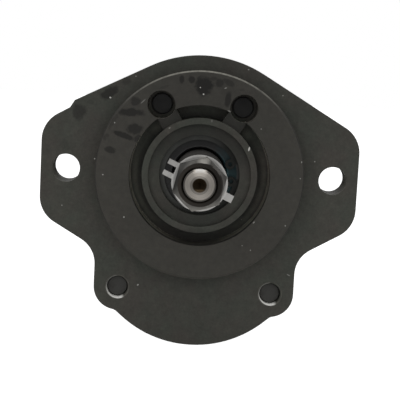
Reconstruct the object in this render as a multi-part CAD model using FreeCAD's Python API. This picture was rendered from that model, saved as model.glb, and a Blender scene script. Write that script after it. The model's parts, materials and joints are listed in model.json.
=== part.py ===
import FreeCAD, Part
import math
import os

# Tandem gear pump: two external gear sections, one behind the other, on one tapered drive shaft.
# Origin: centre of the pilot on the mounting face. The shaft points along -Y, Z is up.
# The driven gears run below the drive gears. All sizes are in millimetres.

# Mounting flange and pilot
PILOT_RADIUS = 41.275
PILOT_HEIGHT = 6.35
PILOT_CHAMFER = 0.7
EAR_HOLE_X = 53.2
EAR_HOLE_RADIUS = 5.6
EAR_RIM = 4.4
EAR_THICKNESS = 13.5
EAR_CORNER_RADIUS = 12.0
SHOULDER_SLOPE = 30.0
SHOULDER_RADIUS = 47.1
SHOULDER_PAD_SLOPE = 27.0
SHOULDER_PAD_INSET = 10.8
SHOULDER_PAD_STEP = 1.8
UNDER_EAR_OFFSET = 0.5
WAIST_FILLET = 11.5
LUG_RADIUS = 9.45
LUG_FLOOR_SLOPE = 10.0
LUG_FILLET = 3.0
LOBE_RADIUS = 44.0
LOBE_DROP = 31.5
LOBE_SLOPE = 40.5
FLANGE_DEPTH = 22.0
GROOVE_RADIUS = 27.8
GROOVE_DEPTH = 11.0
HUB_RADIUS = 22.8
HUB_RECESS = 1.2
HUB_POCKET_RADIUS = 20.3
HUB_POCKET_DEPTH = 1.6
BRIDGE_WIDTH = 8.4
BRIDGE_RECESS = 4.0

# Pump section castings
BOLT_WALL = 6.85
BODY_SHOULDER_FILLET = 12.0
BODY_LUG_SLOPE = 40.0
FOOT_FILLET = 8.0
EDGE_CHAMFER = 0.6
PLATE_THICKNESS = 20.0
COVER_THICKNESS = 20.0
COVER_EDGE_FILLET = 1.5
BOLT_SEAT_RIM = 0.6
BOLT_SEAT_DEPTH = 0.8

# Gears
MODULE = 3.175
TEETH = 12
PRESSURE_ANGLE = 20.0
TIP_ADDENDUM = 0.93
ROOT_CLEARANCE = 0.635
BACKLASH = 0.16
FRONT_GEAR_WIDTH = 30.0
REAR_GEAR_WIDTH = 20.0
FLANK_POINTS = 5

# Bearing blocks and liners
BLOCK_LENGTH = 19.0
LINER_WALL = 1.5
LINER_INSET = 0.5
RELIEF_WIDTH = 5.0
RELIEF_HEIGHT = 7.0
RELIEF_DEPTH = 1.5
BLOCK_SEAL_INSET = 1.6
BLOCK_SEAL_WIDTH = 1.5
BLOCK_SEAL_DEPTH = 1.6
BACKUP_THICKNESS = 0.8

# Shafts
JOURNAL_RADIUS = 10.0
SHAFT_REACH = 39.0
SHOULDER_REACH = 3.0
TAPER_LARGE_RADIUS = 8.5
TAPER_RATIO = 8.0
STUD_RADIUS = 6.0
STUD_LENGTH = 8.9
STUD_CHAMFER = 0.7
STUD_RELIEF_LENGTH = 1.6
STUD_RELIEF_DEPTH = 0.9
CENTRE_HOLE_RADIUS = 2.6
CENTRE_HOLE_DEPTH = 6.0
SPLINE_KEYS = 6
SPLINE_RADIUS = 8.0
SPLINE_ROOT_RADIUS = 6.5
SPLINE_KEY_WIDTH = 3.6
COUPLING_RADIUS = 13.0
COUPLING_LENGTH = 18.0
COUPLING_CHAMFER = 1.0
PLATE_BORE_RADIUS = 14.5

# Woodruff key, tab washer and nut on the shaft end
KEY_ANGLE = 156.0
KEY_WIDTH = 3.0
KEY_DISC_RADIUS = 6.5
KEY_PROUD = 1.3
KEY_FROM_NUT = 11.0
WASHER_RADIUS = 10.5
WASHER_THICKNESS = 1.5
TAB_WIDTH = 2.8
TAB_REACH = 13.7
FORK_TINE_WIDTH = 1.85
FORK_SLOT_WIDTH = 2.7
FORK_SLOT_BOTTOM = 10.2
FORK_REACH = 14.0
NUT_FLATS = 18.0
NUT_HEIGHT = 6.0
NUT_ANGLE = 16.8
NUT_COUNTERSINK = 0.8
HEX_FACE_RATIO = 0.9
HEX_CHAMFER_ANGLE = 30.0

# Shaft seal and its circlip
SEAL_RADIUS = 15.875
SEAL_LENGTH = 7.0
SEAL_CASE_WALL = 1.0
SEAL_CASE_LIP = 2.4
SEAL_FACE_THICKNESS = 1.5
SEAL_NECK_THICKNESS = 1.1
SEAL_SPRING_RADIUS = 0.6
SEAL_BORE_DEPTH = 12.0
SHAFT_BORE_RADIUS = 11.5
CIRCLIP_THICKNESS = 1.2
CIRCLIP_WIDTH = 2.7
CIRCLIP_GROOVE_DEPTH = 0.8
CIRCLIP_SETBACK = 2.4
CIRCLIP_ANGLE = 6.0
CIRCLIP_LUG_SPREAD = 15.6
CIRCLIP_LUG_INSET = 1.05
CIRCLIP_LUG_RADIUS = 2.0
CIRCLIP_HOLE_RADIUS = 0.85

# Through bolts, dowels and joint seals
UPPER_BOLT_X = 16.2
UPPER_BOLT_Z = 27.2
UPPER_HOLE_RADIUS = 5.5
UPPER_HOLE_FLOOR = 6.5
UPPER_BOLT_PROUD = 1.0
LOWER_BOLT_X = 30.85
LOWER_BOLT_DROP = 8.95
LOWER_BOLT_SUNK = 2.4
BOLT_RADIUS = 5.0
THREAD_CORE_RADIUS = 4.25
THREAD_MOUTH_CHAMFER = 0.85
BOLT_POINT_BEVEL = 0.5
BOLT_HOLE_RADIUS = 5.5
BOLT_HEAD_FLATS = 16.0
BOLT_HEAD_HEIGHT = 6.4
BOLT_WASHER_RADIUS = 9.0
BOLT_WASHER_THICKNESS = 2.0
DOWEL_RADIUS = 3.0
DOWEL_LENGTH = 16.0
DOWEL_X = 33.0
DOWEL_Z = 4.0
DOWEL_HOLE_SPARE = 0.5
JOINT_SEAL_OFFSET = 1.2
JOINT_SEAL_WIDTH = 1.9
JOINT_SEAL_DEPTH = 1.4

# Ports: core radius of the thread, passage radius and pad rim
PORT_FACE_X = 42.3
PORT_RIM = 4.0
PORT_SPOTFACE_RIM = 2.2
PORT_SPOTFACE_DEPTH = 0.6
PORT_DEPTH = 16.0
PORT_CHAMFER = 1.0
FRONT_INLET_RADIUS = 15.45
FRONT_INLET_PASSAGE = 10.0
FRONT_OUTLET_RADIUS = 12.35
FRONT_OUTLET_PASSAGE = 8.0
REAR_INLET_RADIUS = 12.35
REAR_INLET_PASSAGE = 8.5
REAR_OUTLET_RADIUS = 10.2
REAR_OUTLET_PASSAGE = 6.5

# Clearances between pieces
GEAR_SIDE_GAP = 0.05
GEAR_TIP_GAP = 0.10
BLOCK_GAP = 0.04
JOURNAL_GAP = 0.03
FIT_GAP = 0.02
SHAFT_END_GAP = 0.5
LIP_GAP = 0.06

# Worked out from the sizes above
EAR_HALF_SPAN = EAR_HOLE_X + EAR_HOLE_RADIUS + EAR_RIM
BODY_SHOULDER_RADIUS = math.hypot(UPPER_BOLT_X, UPPER_BOLT_Z) + BOLT_HOLE_RADIUS + BOLT_WALL
PITCH_RADIUS = MODULE * TEETH / 2
BASE_RADIUS = PITCH_RADIUS * math.cos(math.radians(PRESSURE_ANGLE))
TIP_RADIUS = PITCH_RADIUS + TIP_ADDENDUM * MODULE
CENTRE_DISTANCE = 2 * PITCH_RADIUS
ROOT_RADIUS = CENTRE_DISTANCE - TIP_RADIUS - ROOT_CLEARANCE
CHAMBER_RADIUS = TIP_RADIUS + GEAR_TIP_GAP
LOWER_BOLT_Z = -CENTRE_DISTANCE - LOWER_BOLT_DROP
FLOOR_Z = -CENTRE_DISTANCE - LOBE_DROP
FRONT_BODY_START = FLANGE_DEPTH
PLATE_START = FRONT_BODY_START + 2 * (BLOCK_LENGTH + GEAR_SIDE_GAP) + FRONT_GEAR_WIDTH
REAR_BODY_START = PLATE_START + PLATE_THICKNESS
COVER_START = REAR_BODY_START + 2 * (BLOCK_LENGTH + GEAR_SIDE_GAP) + REAR_GEAR_WIDTH
COVER_END = COVER_START + COVER_THICKNESS
BOLT_SEAT = COVER_END - BOLT_SEAT_DEPTH
PLATE_MIDDLE = PLATE_START + PLATE_THICKNESS / 2
WASHER_BACK = STUD_LENGTH - SHAFT_REACH
HUB_FACE = HUB_RECESS - PILOT_HEIGHT
POCKET_FLOOR = HUB_FACE + HUB_POCKET_DEPTH
CIRCLIP_START = POCKET_FLOOR + CIRCLIP_SETBACK
SEAL_START = CIRCLIP_START + CIRCLIP_THICKNESS + FIT_GAP
CIRCLIP_RADIUS = SEAL_RADIUS + CIRCLIP_GROOVE_DEPTH - FIT_GAP
CIRCLIP_LUG_CENTRE = CIRCLIP_RADIUS - CIRCLIP_WIDTH - CIRCLIP_LUG_INSET
LINER_RADIUS = JOURNAL_RADIUS + JOURNAL_GAP + LINER_WALL
JOINT_SEAL_RADIUS = CHAMBER_RADIUS + JOINT_SEAL_OFFSET
BOLT_POINTS = [
    (UPPER_BOLT_X, UPPER_BOLT_Z),
    (-UPPER_BOLT_X, UPPER_BOLT_Z),
    (LOWER_BOLT_X, LOWER_BOLT_Z),
    (-LOWER_BOLT_X, LOWER_BOLT_Z),
]
DOWEL_POINTS = [(DOWEL_X, DOWEL_Z), (-DOWEL_X, DOWEL_Z)]

AXIS_Y = FreeCAD.Vector(0, 1, 0)
ORIGIN = FreeCAD.Vector(0, 0, 0)


# Outlines drawn from the front

def tangent(angle, radius, x=0.0, z=0.0):
    """Line tangent to a circle, as its normal (nx, nz) and its distance from the origin."""
    nx = math.cos(math.radians(angle))
    nz = math.sin(math.radians(angle))
    return nx, nz, nx * x + nz * z + radius


def mirrored(line):
    """The same line on the other side of the shaft plane."""
    return -line[0], line[1], line[2]


def corner(first, second, radius):
    """Corner (x, z, radius) where two lines cross."""
    det = first[0] * second[1] - second[0] * first[1]
    x = (first[2] * second[1] - second[2] * first[1]) / det
    z = (first[0] * second[2] - second[0] * first[2]) / det
    return x, z, radius


def both_sides(top, right, bottom):
    """Closed corner list from a top corner, the right-hand corners and the bottom corners."""
    left = [(-x, z, radius) for x, z, radius in reversed(right)]
    return top + right + bottom + left


def rounded_outline(corners, y):
    """Closed wire at height y whose corners (x, z, radius) are rounded by tangent arcs."""
    points = [FreeCAD.Vector(x, y, z) for x, z, _ in corners]
    arcs = []
    for index, (_, _, radius) in enumerate(corners):
        here = points[index]
        to_last = (points[index - 1] - here).normalize()
        to_next = (points[(index + 1) % len(points)] - here).normalize()
        half = to_last.getAngle(to_next) / 2
        reach = radius / math.tan(half)
        middle = (to_last + to_next).normalize() * (radius / math.sin(half) - radius)
        arcs.append((here + to_last * reach, here + middle, here + to_next * reach))
    edges = []
    for index, (start, middle, end) in enumerate(arcs):
        edges.append(Part.Arc(start, middle, end).toShape())
        following = arcs[(index + 1) % len(arcs)][0]
        edges.append(Part.makeLine(end, following))
    return Part.Wire(edges)


def prism(corners, start, end):
    """Straight solid with a rounded outline between two heights along Y."""
    return Part.Face(rounded_outline(corners, start)).extrude(AXIS_Y * (end - start))


def flange_corners():
    """Front outline: arched top, two ears, waist, bolt lugs and a round lower lobe."""
    shoulder = tangent(90 - SHOULDER_SLOPE, SHOULDER_RADIUS)
    ear_end = tangent(0, EAR_HALF_SPAN)
    under_ear = tangent(SHOULDER_SLOPE - 90, SHOULDER_RADIUS + UNDER_EAR_OFFSET)
    side = tangent(0, LUG_RADIUS, LOWER_BOLT_X)
    lug_floor = tangent(LUG_FLOOR_SLOPE - 90, LUG_RADIUS, LOWER_BOLT_X, LOWER_BOLT_Z)
    lobe = tangent(LOBE_SLOPE - 90, LOBE_RADIUS, 0, FLOOR_Z + LOBE_RADIUS)
    right = [
        corner(shoulder, ear_end, EAR_CORNER_RADIUS),
        corner(ear_end, under_ear, EAR_CORNER_RADIUS),
        corner(under_ear, side, WAIST_FILLET),
        corner(side, lug_floor, LUG_RADIUS),
        corner(lug_floor, lobe, LUG_FILLET),
    ]
    top = [corner(mirrored(shoulder), shoulder, SHOULDER_RADIUS)]
    bottom = [corner(lobe, mirrored(lobe), LOBE_RADIUS)]
    return both_sides(top, right, bottom)


def shoulder_pad(start, end):
    """Shallow wedge of cast metal on the left shoulder, which ends in a small step near the ear."""
    pad = mirrored(tangent(90 - SHOULDER_PAD_SLOPE, SHOULDER_RADIUS))
    shoulder = mirrored(tangent(90 - SHOULDER_SLOPE, SHOULDER_RADIUS))
    foot = SHOULDER_PAD_INSET - EAR_HALF_SPAN
    head = foot + SHOULDER_PAD_STEP
    inside = SHOULDER_RADIUS - EAR_RIM
    outline = [
        (pad[0] * SHOULDER_RADIUS, pad[1] * SHOULDER_RADIUS),
        (head, (pad[2] - pad[0] * head) / pad[1]),
        (foot, (shoulder[2] - shoulder[0] * foot) / shoulder[1]),
        (shoulder[0] * inside, shoulder[1] * inside),
    ]
    points = [FreeCAD.Vector(x, start, z) for x, z in outline + outline[:1]]
    return Part.Face(Part.makePolygon(points)).extrude(AXIS_Y * (end - start))


def body_corners():
    """Outline of the section castings: arched top, straight sides, bolt lugs and a flat foot."""
    shoulder = tangent(90 - SHOULDER_SLOPE, BODY_SHOULDER_RADIUS)
    side = tangent(0, LUG_RADIUS, LOWER_BOLT_X)
    lug_floor = tangent(BODY_LUG_SLOPE - 90, LUG_RADIUS, LOWER_BOLT_X, LOWER_BOLT_Z)
    foot = tangent(-90, -FLOOR_Z)
    right = [
        corner(shoulder, side, BODY_SHOULDER_FILLET),
        corner(side, lug_floor, LUG_RADIUS),
        corner(lug_floor, foot, FOOT_FILLET),
    ]
    return both_sides([corner(mirrored(shoulder), shoulder, BODY_SHOULDER_RADIUS)], right, [])


# Shared shapes

def rod(radius, start, end, x=0.0, z=0.0):
    """Cylinder along Y between two heights."""
    return Part.makeCylinder(radius, end - start, FreeCAD.Vector(x, start, z), AXIS_Y)


def tube(outer, inner, start, end, x=0.0, z=0.0):
    """Plain ring along Y."""
    return rod(outer, start, end, x, z).cut(rod(inner, start, end, x, z))


def cone(first, second, start, end, x=0.0, z=0.0):
    """Cone along Y with a radius at each end."""
    return Part.makeCone(first, second, end - start, FreeCAD.Vector(x, start, z), AXIS_Y)


def turned(profile):
    """Solid turned about the shaft axis from (radius, y) points."""
    points = [FreeCAD.Vector(radius, y, 0) for radius, y in profile]
    face = Part.Face(Part.makePolygon(points + points[:1]))
    return face.revolve(ORIGIN, AXIS_Y, 360)


def turn(shape, angle):
    """Turn a shape about the shaft axis, from X towards Z as seen from the front."""
    shape.rotate(ORIGIN, -AXIS_Y, angle)
    return shape


def bar(width, reach, start, end, angle):
    """Flat bar that runs from the shaft axis out to a radius, at an angle."""
    box = Part.makeBox(reach, end - start, width, FreeCAD.Vector(0, start, -width / 2))
    return turn(box, angle)


def figure_eight(radius, start, end):
    """Two overlapping cylinders, one round each gear axis."""
    upper = rod(radius, start, end)
    return upper.fuse(rod(radius, start, end, 0, -CENTRE_DISTANCE)).removeSplitter()


def racetrack(radius, start, end):
    """Solid with straight sides and a round end about each gear axis."""
    middle = Part.makeBox(2 * radius, end - start, CENTRE_DISTANCE,
                          FreeCAD.Vector(-radius, start, -CENTRE_DISTANCE))
    return figure_eight(radius, start, end).fuse(middle).removeSplitter()


def hexagon(flats, start, end, x=0.0, z=0.0, angle=0.0):
    """Hexagonal prism with its outer corners chamfered at the start end."""
    across = flats / math.cos(math.radians(30)) / 2
    face = HEX_FACE_RATIO * flats / 2
    slope = math.tan(math.radians(HEX_CHAMFER_ANGLE))
    points = []
    for index in range(7):
        turn_angle = math.radians(angle + 60 * index)
        points.append(FreeCAD.Vector(x + across * math.cos(turn_angle), start,
                                     z + across * math.sin(turn_angle)))
    block = Part.Face(Part.makePolygon(points)).extrude(AXIS_Y * (end - start))
    limit = cone(face, face + (end - start) / slope, start, end, x, z)
    keep = rod(across, start + (across - face) * slope, end, x, z).fuse(limit)
    return block.common(keep)


# Gears

def involute(angle):
    return math.tan(angle) - angle


def polar(radius, angle):
    return FreeCAD.Vector(radius * math.cos(angle), 0, radius * math.sin(angle))


def flank_angle(radius):
    """Half the angle that a tooth spans at a radius."""
    half = math.pi / (2 * TEETH) - BACKLASH / (2 * PITCH_RADIUS)
    ratio = min(1.0, BASE_RADIUS / radius)
    return half + involute(math.radians(PRESSURE_ANGLE)) - involute(math.acos(ratio))


def tooth_edges(centre):
    """One tooth and the root beside it: two involute flanks, the tip arc and a round root."""
    step = (TIP_RADIUS - BASE_RADIUS) / (FLANK_POINTS - 1)
    radii = [BASE_RADIUS + step * index for index in range(FLANK_POINTS)]
    rising = [polar(r, centre - flank_angle(r)) for r in radii]
    falling = [polar(r, centre + flank_angle(r)) for r in reversed(radii)]
    pitch = 2 * math.pi / TEETH
    next_foot = polar(BASE_RADIUS, centre + pitch - flank_angle(BASE_RADIUS))
    curves = []
    for flank in (rising, falling):
        curve = Part.BSplineCurve()
        curve.interpolate(flank)
        curves.append(curve.toShape())
    tip = Part.Arc(rising[-1], polar(TIP_RADIUS, centre), falling[0]).toShape()
    root = Part.Arc(falling[-1], polar(ROOT_RADIUS, centre + pitch / 2), next_foot).toShape()
    return [curves[0], tip, curves[1], root]


def gear(start, width, z, first_tooth):
    """Spur gear with involute teeth; the first tooth points at an angle in degrees."""
    edges = []
    for index in range(TEETH):
        edges += tooth_edges(math.radians(first_tooth) + 2 * math.pi * index / TEETH)
    blank = Part.Face(Part.Wire(edges)).extrude(AXIS_Y * width)
    blank.translate(FreeCAD.Vector(0, start, z))
    return blank


def section_start(body_start):
    """Where the gear face of a section begins."""
    return body_start + BLOCK_LENGTH + GEAR_SIDE_GAP


def spline(radius, root_radius, key_width, start, end):
    """Straight-sided splined rod."""
    shape = rod(root_radius, start, end)
    for index in range(SPLINE_KEYS):
        key = bar(key_width, radius, start, end, 360 / SPLINE_KEYS * index)
        shape = shape.fuse(key.common(rod(radius, start, end)))
    return shape.removeSplitter()


def driven_gear(body_start, body_end, width):
    """Idler gear with a plain journal at each end."""
    journals = rod(JOURNAL_RADIUS, body_start + SHAFT_END_GAP, body_end - SHAFT_END_GAP,
                   0, -CENTRE_DISTANCE)
    pitch = 360 / TEETH
    teeth = gear(section_start(body_start), width, -CENTRE_DISTANCE, 90 + pitch / 2)
    return teeth.fuse(journals)


def drive_shaft():
    """Front gear, journals, tapered nose with threaded end, and the splined tail."""
    gear_start = section_start(FRONT_BODY_START)
    gear_end = gear_start + FRONT_GEAR_WIDTH
    taper_length = -SHOULDER_REACH - WASHER_BACK
    taper_small = TAPER_LARGE_RADIUS - taper_length / TAPER_RATIO / 2
    relief = STUD_RADIUS - STUD_RELIEF_DEPTH
    nose = turned([
        (0, CENTRE_HOLE_DEPTH - SHAFT_REACH),
        (CENTRE_HOLE_RADIUS, CENTRE_HOLE_DEPTH - CENTRE_HOLE_RADIUS - SHAFT_REACH),
        (CENTRE_HOLE_RADIUS, -SHAFT_REACH),
        (STUD_RADIUS - STUD_CHAMFER, -SHAFT_REACH),
        (STUD_RADIUS, STUD_CHAMFER - SHAFT_REACH),
        (STUD_RADIUS, WASHER_BACK - STUD_RELIEF_LENGTH),
        (relief, WASHER_BACK - STUD_RELIEF_LENGTH + STUD_RELIEF_DEPTH / 2),
        (relief, WASHER_BACK),
        (taper_small, WASHER_BACK),
        (TAPER_LARGE_RADIUS, -SHOULDER_REACH),
        (JOURNAL_RADIUS - STUD_CHAMFER, -SHOULDER_REACH),
        (JOURNAL_RADIUS, STUD_CHAMFER - SHOULDER_REACH),
        (JOURNAL_RADIUS, gear_start),
        (0, gear_start),
    ])
    tail = rod(JOURNAL_RADIUS, gear_end, PLATE_START - SHAFT_END_GAP)
    tail_spline = spline(SPLINE_RADIUS, SPLINE_ROOT_RADIUS, SPLINE_KEY_WIDTH,
                         PLATE_START - SHAFT_END_GAP, PLATE_MIDDLE - SHAFT_END_GAP)
    teeth = gear(gear_start, FRONT_GEAR_WIDTH, 0, -90)
    shaft = teeth.fuse([nose, tail, tail_spline])
    return shaft.cut(key_disc(FIT_GAP)).removeSplitter()


def rear_drive_gear():
    """Rear section's drive gear, with a splined stub towards the coupling."""
    journals = rod(JOURNAL_RADIUS, REAR_BODY_START + SHAFT_END_GAP, COVER_START - SHAFT_END_GAP)
    stub = spline(SPLINE_RADIUS, SPLINE_ROOT_RADIUS, SPLINE_KEY_WIDTH,
                  PLATE_MIDDLE + SHAFT_END_GAP, REAR_BODY_START + SHAFT_END_GAP)
    teeth = gear(section_start(REAR_BODY_START), REAR_GEAR_WIDTH, 0, -90)
    return teeth.fuse([journals, stub])


def shaft_coupling():
    """Sleeve with internal splines that joins the two shafts inside the centre plate."""
    start = PLATE_MIDDLE - COUPLING_LENGTH / 2
    end = PLATE_MIDDLE + COUPLING_LENGTH / 2
    sleeve = turned([
        (0, start),
        (COUPLING_RADIUS - COUPLING_CHAMFER, start),
        (COUPLING_RADIUS, start + COUPLING_CHAMFER),
        (COUPLING_RADIUS, end - COUPLING_CHAMFER),
        (COUPLING_RADIUS - COUPLING_CHAMFER, end),
        (0, end),
    ])
    broach = spline(SPLINE_RADIUS + FIT_GAP, SPLINE_ROOT_RADIUS + FIT_GAP,
                    SPLINE_KEY_WIDTH + 2 * FIT_GAP, start, end)
    return sleeve.cut(broach)


# Pieces on the shaft end

def key_disc(gap):
    """Round-bottomed key in the taper, larger by a gap when it cuts its own slot."""
    width = KEY_WIDTH + 2 * gap
    middle = WASHER_BACK + KEY_FROM_NUT
    surface = TAPER_LARGE_RADIUS - (-SHOULDER_REACH - middle) / TAPER_RATIO / 2
    top = surface + KEY_PROUD
    disc = Part.makeCylinder(KEY_DISC_RADIUS + gap, width,
                             FreeCAD.Vector(top, middle, -width / 2), FreeCAD.Vector(0, 0, 1))
    reach = KEY_DISC_RADIUS + gap
    lower_half = Part.makeBox(reach, 2 * reach, width,
                              FreeCAD.Vector(top - reach, middle - reach, -width / 2))
    return turn(disc.common(lower_half), KEY_ANGLE)


def tab_washer():
    """Lock washer with one tab and, opposite it, a forked tab, all still flat."""
    front = WASHER_BACK - WASHER_THICKNESS
    disc = rod(WASHER_RADIUS, front, WASHER_BACK)
    fork = bar(2 * FORK_TINE_WIDTH + FORK_SLOT_WIDTH, FORK_REACH, front, WASHER_BACK, KEY_ANGLE)
    tab = bar(TAB_WIDTH, TAB_REACH, front, WASHER_BACK, KEY_ANGLE + 180)
    slot = Part.makeBox(FORK_REACH, WASHER_THICKNESS, FORK_SLOT_WIDTH,
                        FreeCAD.Vector(FORK_SLOT_BOTTOM, front, -FORK_SLOT_WIDTH / 2))
    washer = disc.fuse([fork, tab]).cut(turn(slot, KEY_ANGLE))
    return washer.cut(rod(STUD_RADIUS + FIT_GAP, front, WASHER_BACK)).removeSplitter()


def shaft_nut():
    """Thin hexagon nut, countersunk at its thread."""
    back = WASHER_BACK - WASHER_THICKNESS
    front = back - NUT_HEIGHT
    bore = STUD_RADIUS + FIT_GAP
    nut = hexagon(NUT_FLATS, front, back, angle=NUT_ANGLE)
    nut = nut.cut(rod(bore, front, back))
    return nut.cut(cone(bore + NUT_COUNTERSINK, bore, front, front + NUT_COUNTERSINK))


# Shaft seal

def seal_case():
    """Steel case of the seal, with an inward lip at its back."""
    end = SEAL_START + SEAL_LENGTH
    inner = SEAL_RADIUS - SEAL_CASE_WALL
    return turned([
        (SEAL_RADIUS, SEAL_START),
        (SEAL_RADIUS, end),
        (SEAL_RADIUS - SEAL_CASE_LIP, end),
        (SEAL_RADIUS - SEAL_CASE_LIP, end - SEAL_CASE_WALL),
        (inner, end - SEAL_CASE_WALL),
        (inner, SEAL_START),
    ])


def seal_lip():
    """Rubber face and sprung lip that runs on the journal."""
    outer = SEAL_RADIUS - SEAL_CASE_WALL
    edge = JOURNAL_RADIUS + LIP_GAP
    neck = edge + SEAL_NECK_THICKNESS
    face_end = SEAL_START + SEAL_FACE_THICKNESS
    lip_end = SEAL_START + SEAL_LENGTH - SEAL_CASE_WALL
    return turned([
        (outer, SEAL_START),
        (outer, face_end),
        (neck + SEAL_NECK_THICKNESS, face_end),
        (neck, face_end + SEAL_NECK_THICKNESS),
        (neck, lip_end),
        (edge + SEAL_NECK_THICKNESS / 2, lip_end),
        (edge, lip_end - SEAL_SPRING_RADIUS),
        (neck - SEAL_NECK_THICKNESS / 2, face_end),
        (neck, SEAL_START),
    ])


def seal_spring():
    """Garter spring round the lip, drawn as a plain ring of hexagonal section."""
    ring = JOURNAL_RADIUS + LIP_GAP + SEAL_NECK_THICKNESS + SEAL_SPRING_RADIUS
    middle = SEAL_START + SEAL_LENGTH - SEAL_CASE_WALL - 2 * SEAL_SPRING_RADIUS
    corners = [math.radians(30 + 60 * index) for index in range(6)]
    across = SEAL_SPRING_RADIUS / math.cos(corners[0])
    return turned([(ring + across * math.cos(a), middle + across * math.sin(a)) for a in corners])


def seal_circlip():
    """Internal retaining ring with two drilled lugs beside its gap."""
    start = CIRCLIP_START
    end = start + CIRCLIP_THICKNESS
    ring = tube(CIRCLIP_RADIUS, CIRCLIP_RADIUS - CIRCLIP_WIDTH, start, end)
    gap = 2 * CIRCLIP_LUG_CENTRE * math.sin(math.radians(CIRCLIP_LUG_SPREAD))
    ring = ring.cut(bar(gap, CIRCLIP_RADIUS + 1, start, end, CIRCLIP_ANGLE))
    for side in (-1, 1):
        angle = math.radians(CIRCLIP_ANGLE + side * CIRCLIP_LUG_SPREAD)
        x = CIRCLIP_LUG_CENTRE * math.cos(angle)
        z = CIRCLIP_LUG_CENTRE * math.sin(angle)
        ring = ring.fuse(rod(CIRCLIP_LUG_RADIUS, start, end, x, z))
        ring = ring.cut(rod(CIRCLIP_HOLE_RADIUS, start, end, x, z))
    return ring.removeSplitter()


# Castings

def bolt_holes(start, end):
    """Clearance holes for the four through bolts."""
    return [rod(BOLT_HOLE_RADIUS, start, end, x, z) for x, z in BOLT_POINTS]


def dowel_holes(face, direction):
    """Two blind dowel holes that open on a joint face."""
    depth = DOWEL_LENGTH / 2 + DOWEL_HOLE_SPARE
    start = min(face, face + direction * depth)
    return [rod(DOWEL_RADIUS + FIT_GAP, start, start + depth, x, z) for x, z in DOWEL_POINTS]


def chamfered_prism(corners, start, end):
    """Casting blank with its end edges broken."""
    blank = prism(corners, start, end)
    edges = [edge for face in blank.Faces for edge in face.Edges
             if abs(edge.BoundBox.YLength) < EDGE_CHAMFER / 10 and abs(face.normalAt(0, 0).y) > 0.9]
    return blank.makeChamfer(EDGE_CHAMFER, edges)


def mounting_flange():
    """Front cover with pilot, two mounting ears, seal hub and tapped holes for the bolts."""
    ears = prism(flange_corners(), 0, EAR_THICKNESS)
    block = prism(body_corners(), EAR_THICKNESS, FLANGE_DEPTH)
    pilot = turned([
        (0, -PILOT_HEIGHT),
        (PILOT_RADIUS - PILOT_CHAMFER, -PILOT_HEIGHT),
        (PILOT_RADIUS, PILOT_CHAMFER - PILOT_HEIGHT),
        (PILOT_RADIUS, 0),
        (0, 0),
    ])
    flange = ears.fuse([shoulder_pad(0, EAR_THICKNESS), block, pilot])
    return flange.cut(flange_cuts()).removeSplitter()


def flange_cuts():
    """Everything that is machined or cored out of the flange."""
    floor = GROOVE_DEPTH - PILOT_HEIGHT
    groove = tube(GROOVE_RADIUS, HUB_RADIUS, -PILOT_HEIGHT, floor)
    bridge_angle = math.degrees(math.atan2(UPPER_BOLT_Z, UPPER_BOLT_X))
    bridges = [bar(BRIDGE_WIDTH, GROOVE_RADIUS, BRIDGE_RECESS - PILOT_HEIGHT, floor, angle)
               for angle in (bridge_angle, 180 - bridge_angle)]
    bore_end = POCKET_FLOOR + SEAL_BORE_DEPTH
    groove_end = CIRCLIP_START + CIRCLIP_THICKNESS + FIT_GAP
    cuts = [
        groove.cut(bridges),
        rod(HUB_RADIUS, -PILOT_HEIGHT, HUB_FACE),
        rod(HUB_POCKET_RADIUS, HUB_FACE, POCKET_FLOOR),
        rod(SEAL_RADIUS + FIT_GAP / 2, POCKET_FLOOR, bore_end),
        rod(SEAL_RADIUS + CIRCLIP_GROOVE_DEPTH, CIRCLIP_START - FIT_GAP, groove_end),
        rod(SHAFT_BORE_RADIUS, bore_end, FLANGE_DEPTH),
    ]
    for x in (EAR_HOLE_X, -EAR_HOLE_X):
        cuts.append(rod(EAR_HOLE_RADIUS, 0, EAR_THICKNESS, x))
    for x in (UPPER_BOLT_X, -UPPER_BOLT_X):
        cuts.append(rod(UPPER_HOLE_RADIUS, -PILOT_HEIGHT, UPPER_HOLE_FLOOR, x, UPPER_BOLT_Z))
        cuts.append(rod(THREAD_CORE_RADIUS, UPPER_HOLE_FLOOR, FLANGE_DEPTH, x, UPPER_BOLT_Z))
    mouth = THREAD_CORE_RADIUS + THREAD_MOUTH_CHAMFER
    for x in (LOWER_BOLT_X, -LOWER_BOLT_X):
        cuts.append(rod(THREAD_CORE_RADIUS, 0, FLANGE_DEPTH, x, LOWER_BOLT_Z))
        cuts.append(cone(mouth, THREAD_CORE_RADIUS, 0, THREAD_MOUTH_CHAMFER, x, LOWER_BOLT_Z))
    return cuts + dowel_holes(FLANGE_DEPTH, -1)


def port_pad(side, radius, y):
    """Round boss on a side face that carries one port."""
    middle = -CENTRE_DISTANCE / 2
    outer = radius + PORT_RIM
    return Part.makeCylinder(outer, PORT_FACE_X, FreeCAD.Vector(0, y, middle),
                             FreeCAD.Vector(side, 0, 0))


def port_cuts(side, radius, passage, y):
    """Spot face, threaded bore with its chamfer, and the passage to the gear chamber."""
    middle = -CENTRE_DISTANCE / 2
    inward = FreeCAD.Vector(-side, 0, 0)

    def mouth(depth):
        return FreeCAD.Vector(side * (PORT_FACE_X - depth), y, middle)

    spot = Part.makeCylinder(radius + PORT_SPOTFACE_RIM, PORT_SPOTFACE_DEPTH, mouth(0), inward)
    chamfer = Part.makeCone(radius + PORT_CHAMFER, radius, PORT_CHAMFER,
                            mouth(PORT_SPOTFACE_DEPTH), inward)
    bore = Part.makeCylinder(radius, PORT_DEPTH, mouth(0), inward)
    way = Part.makeCylinder(passage, PORT_FACE_X - PORT_DEPTH, mouth(PORT_DEPTH), inward)
    return [spot, chamfer, bore, way]


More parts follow.
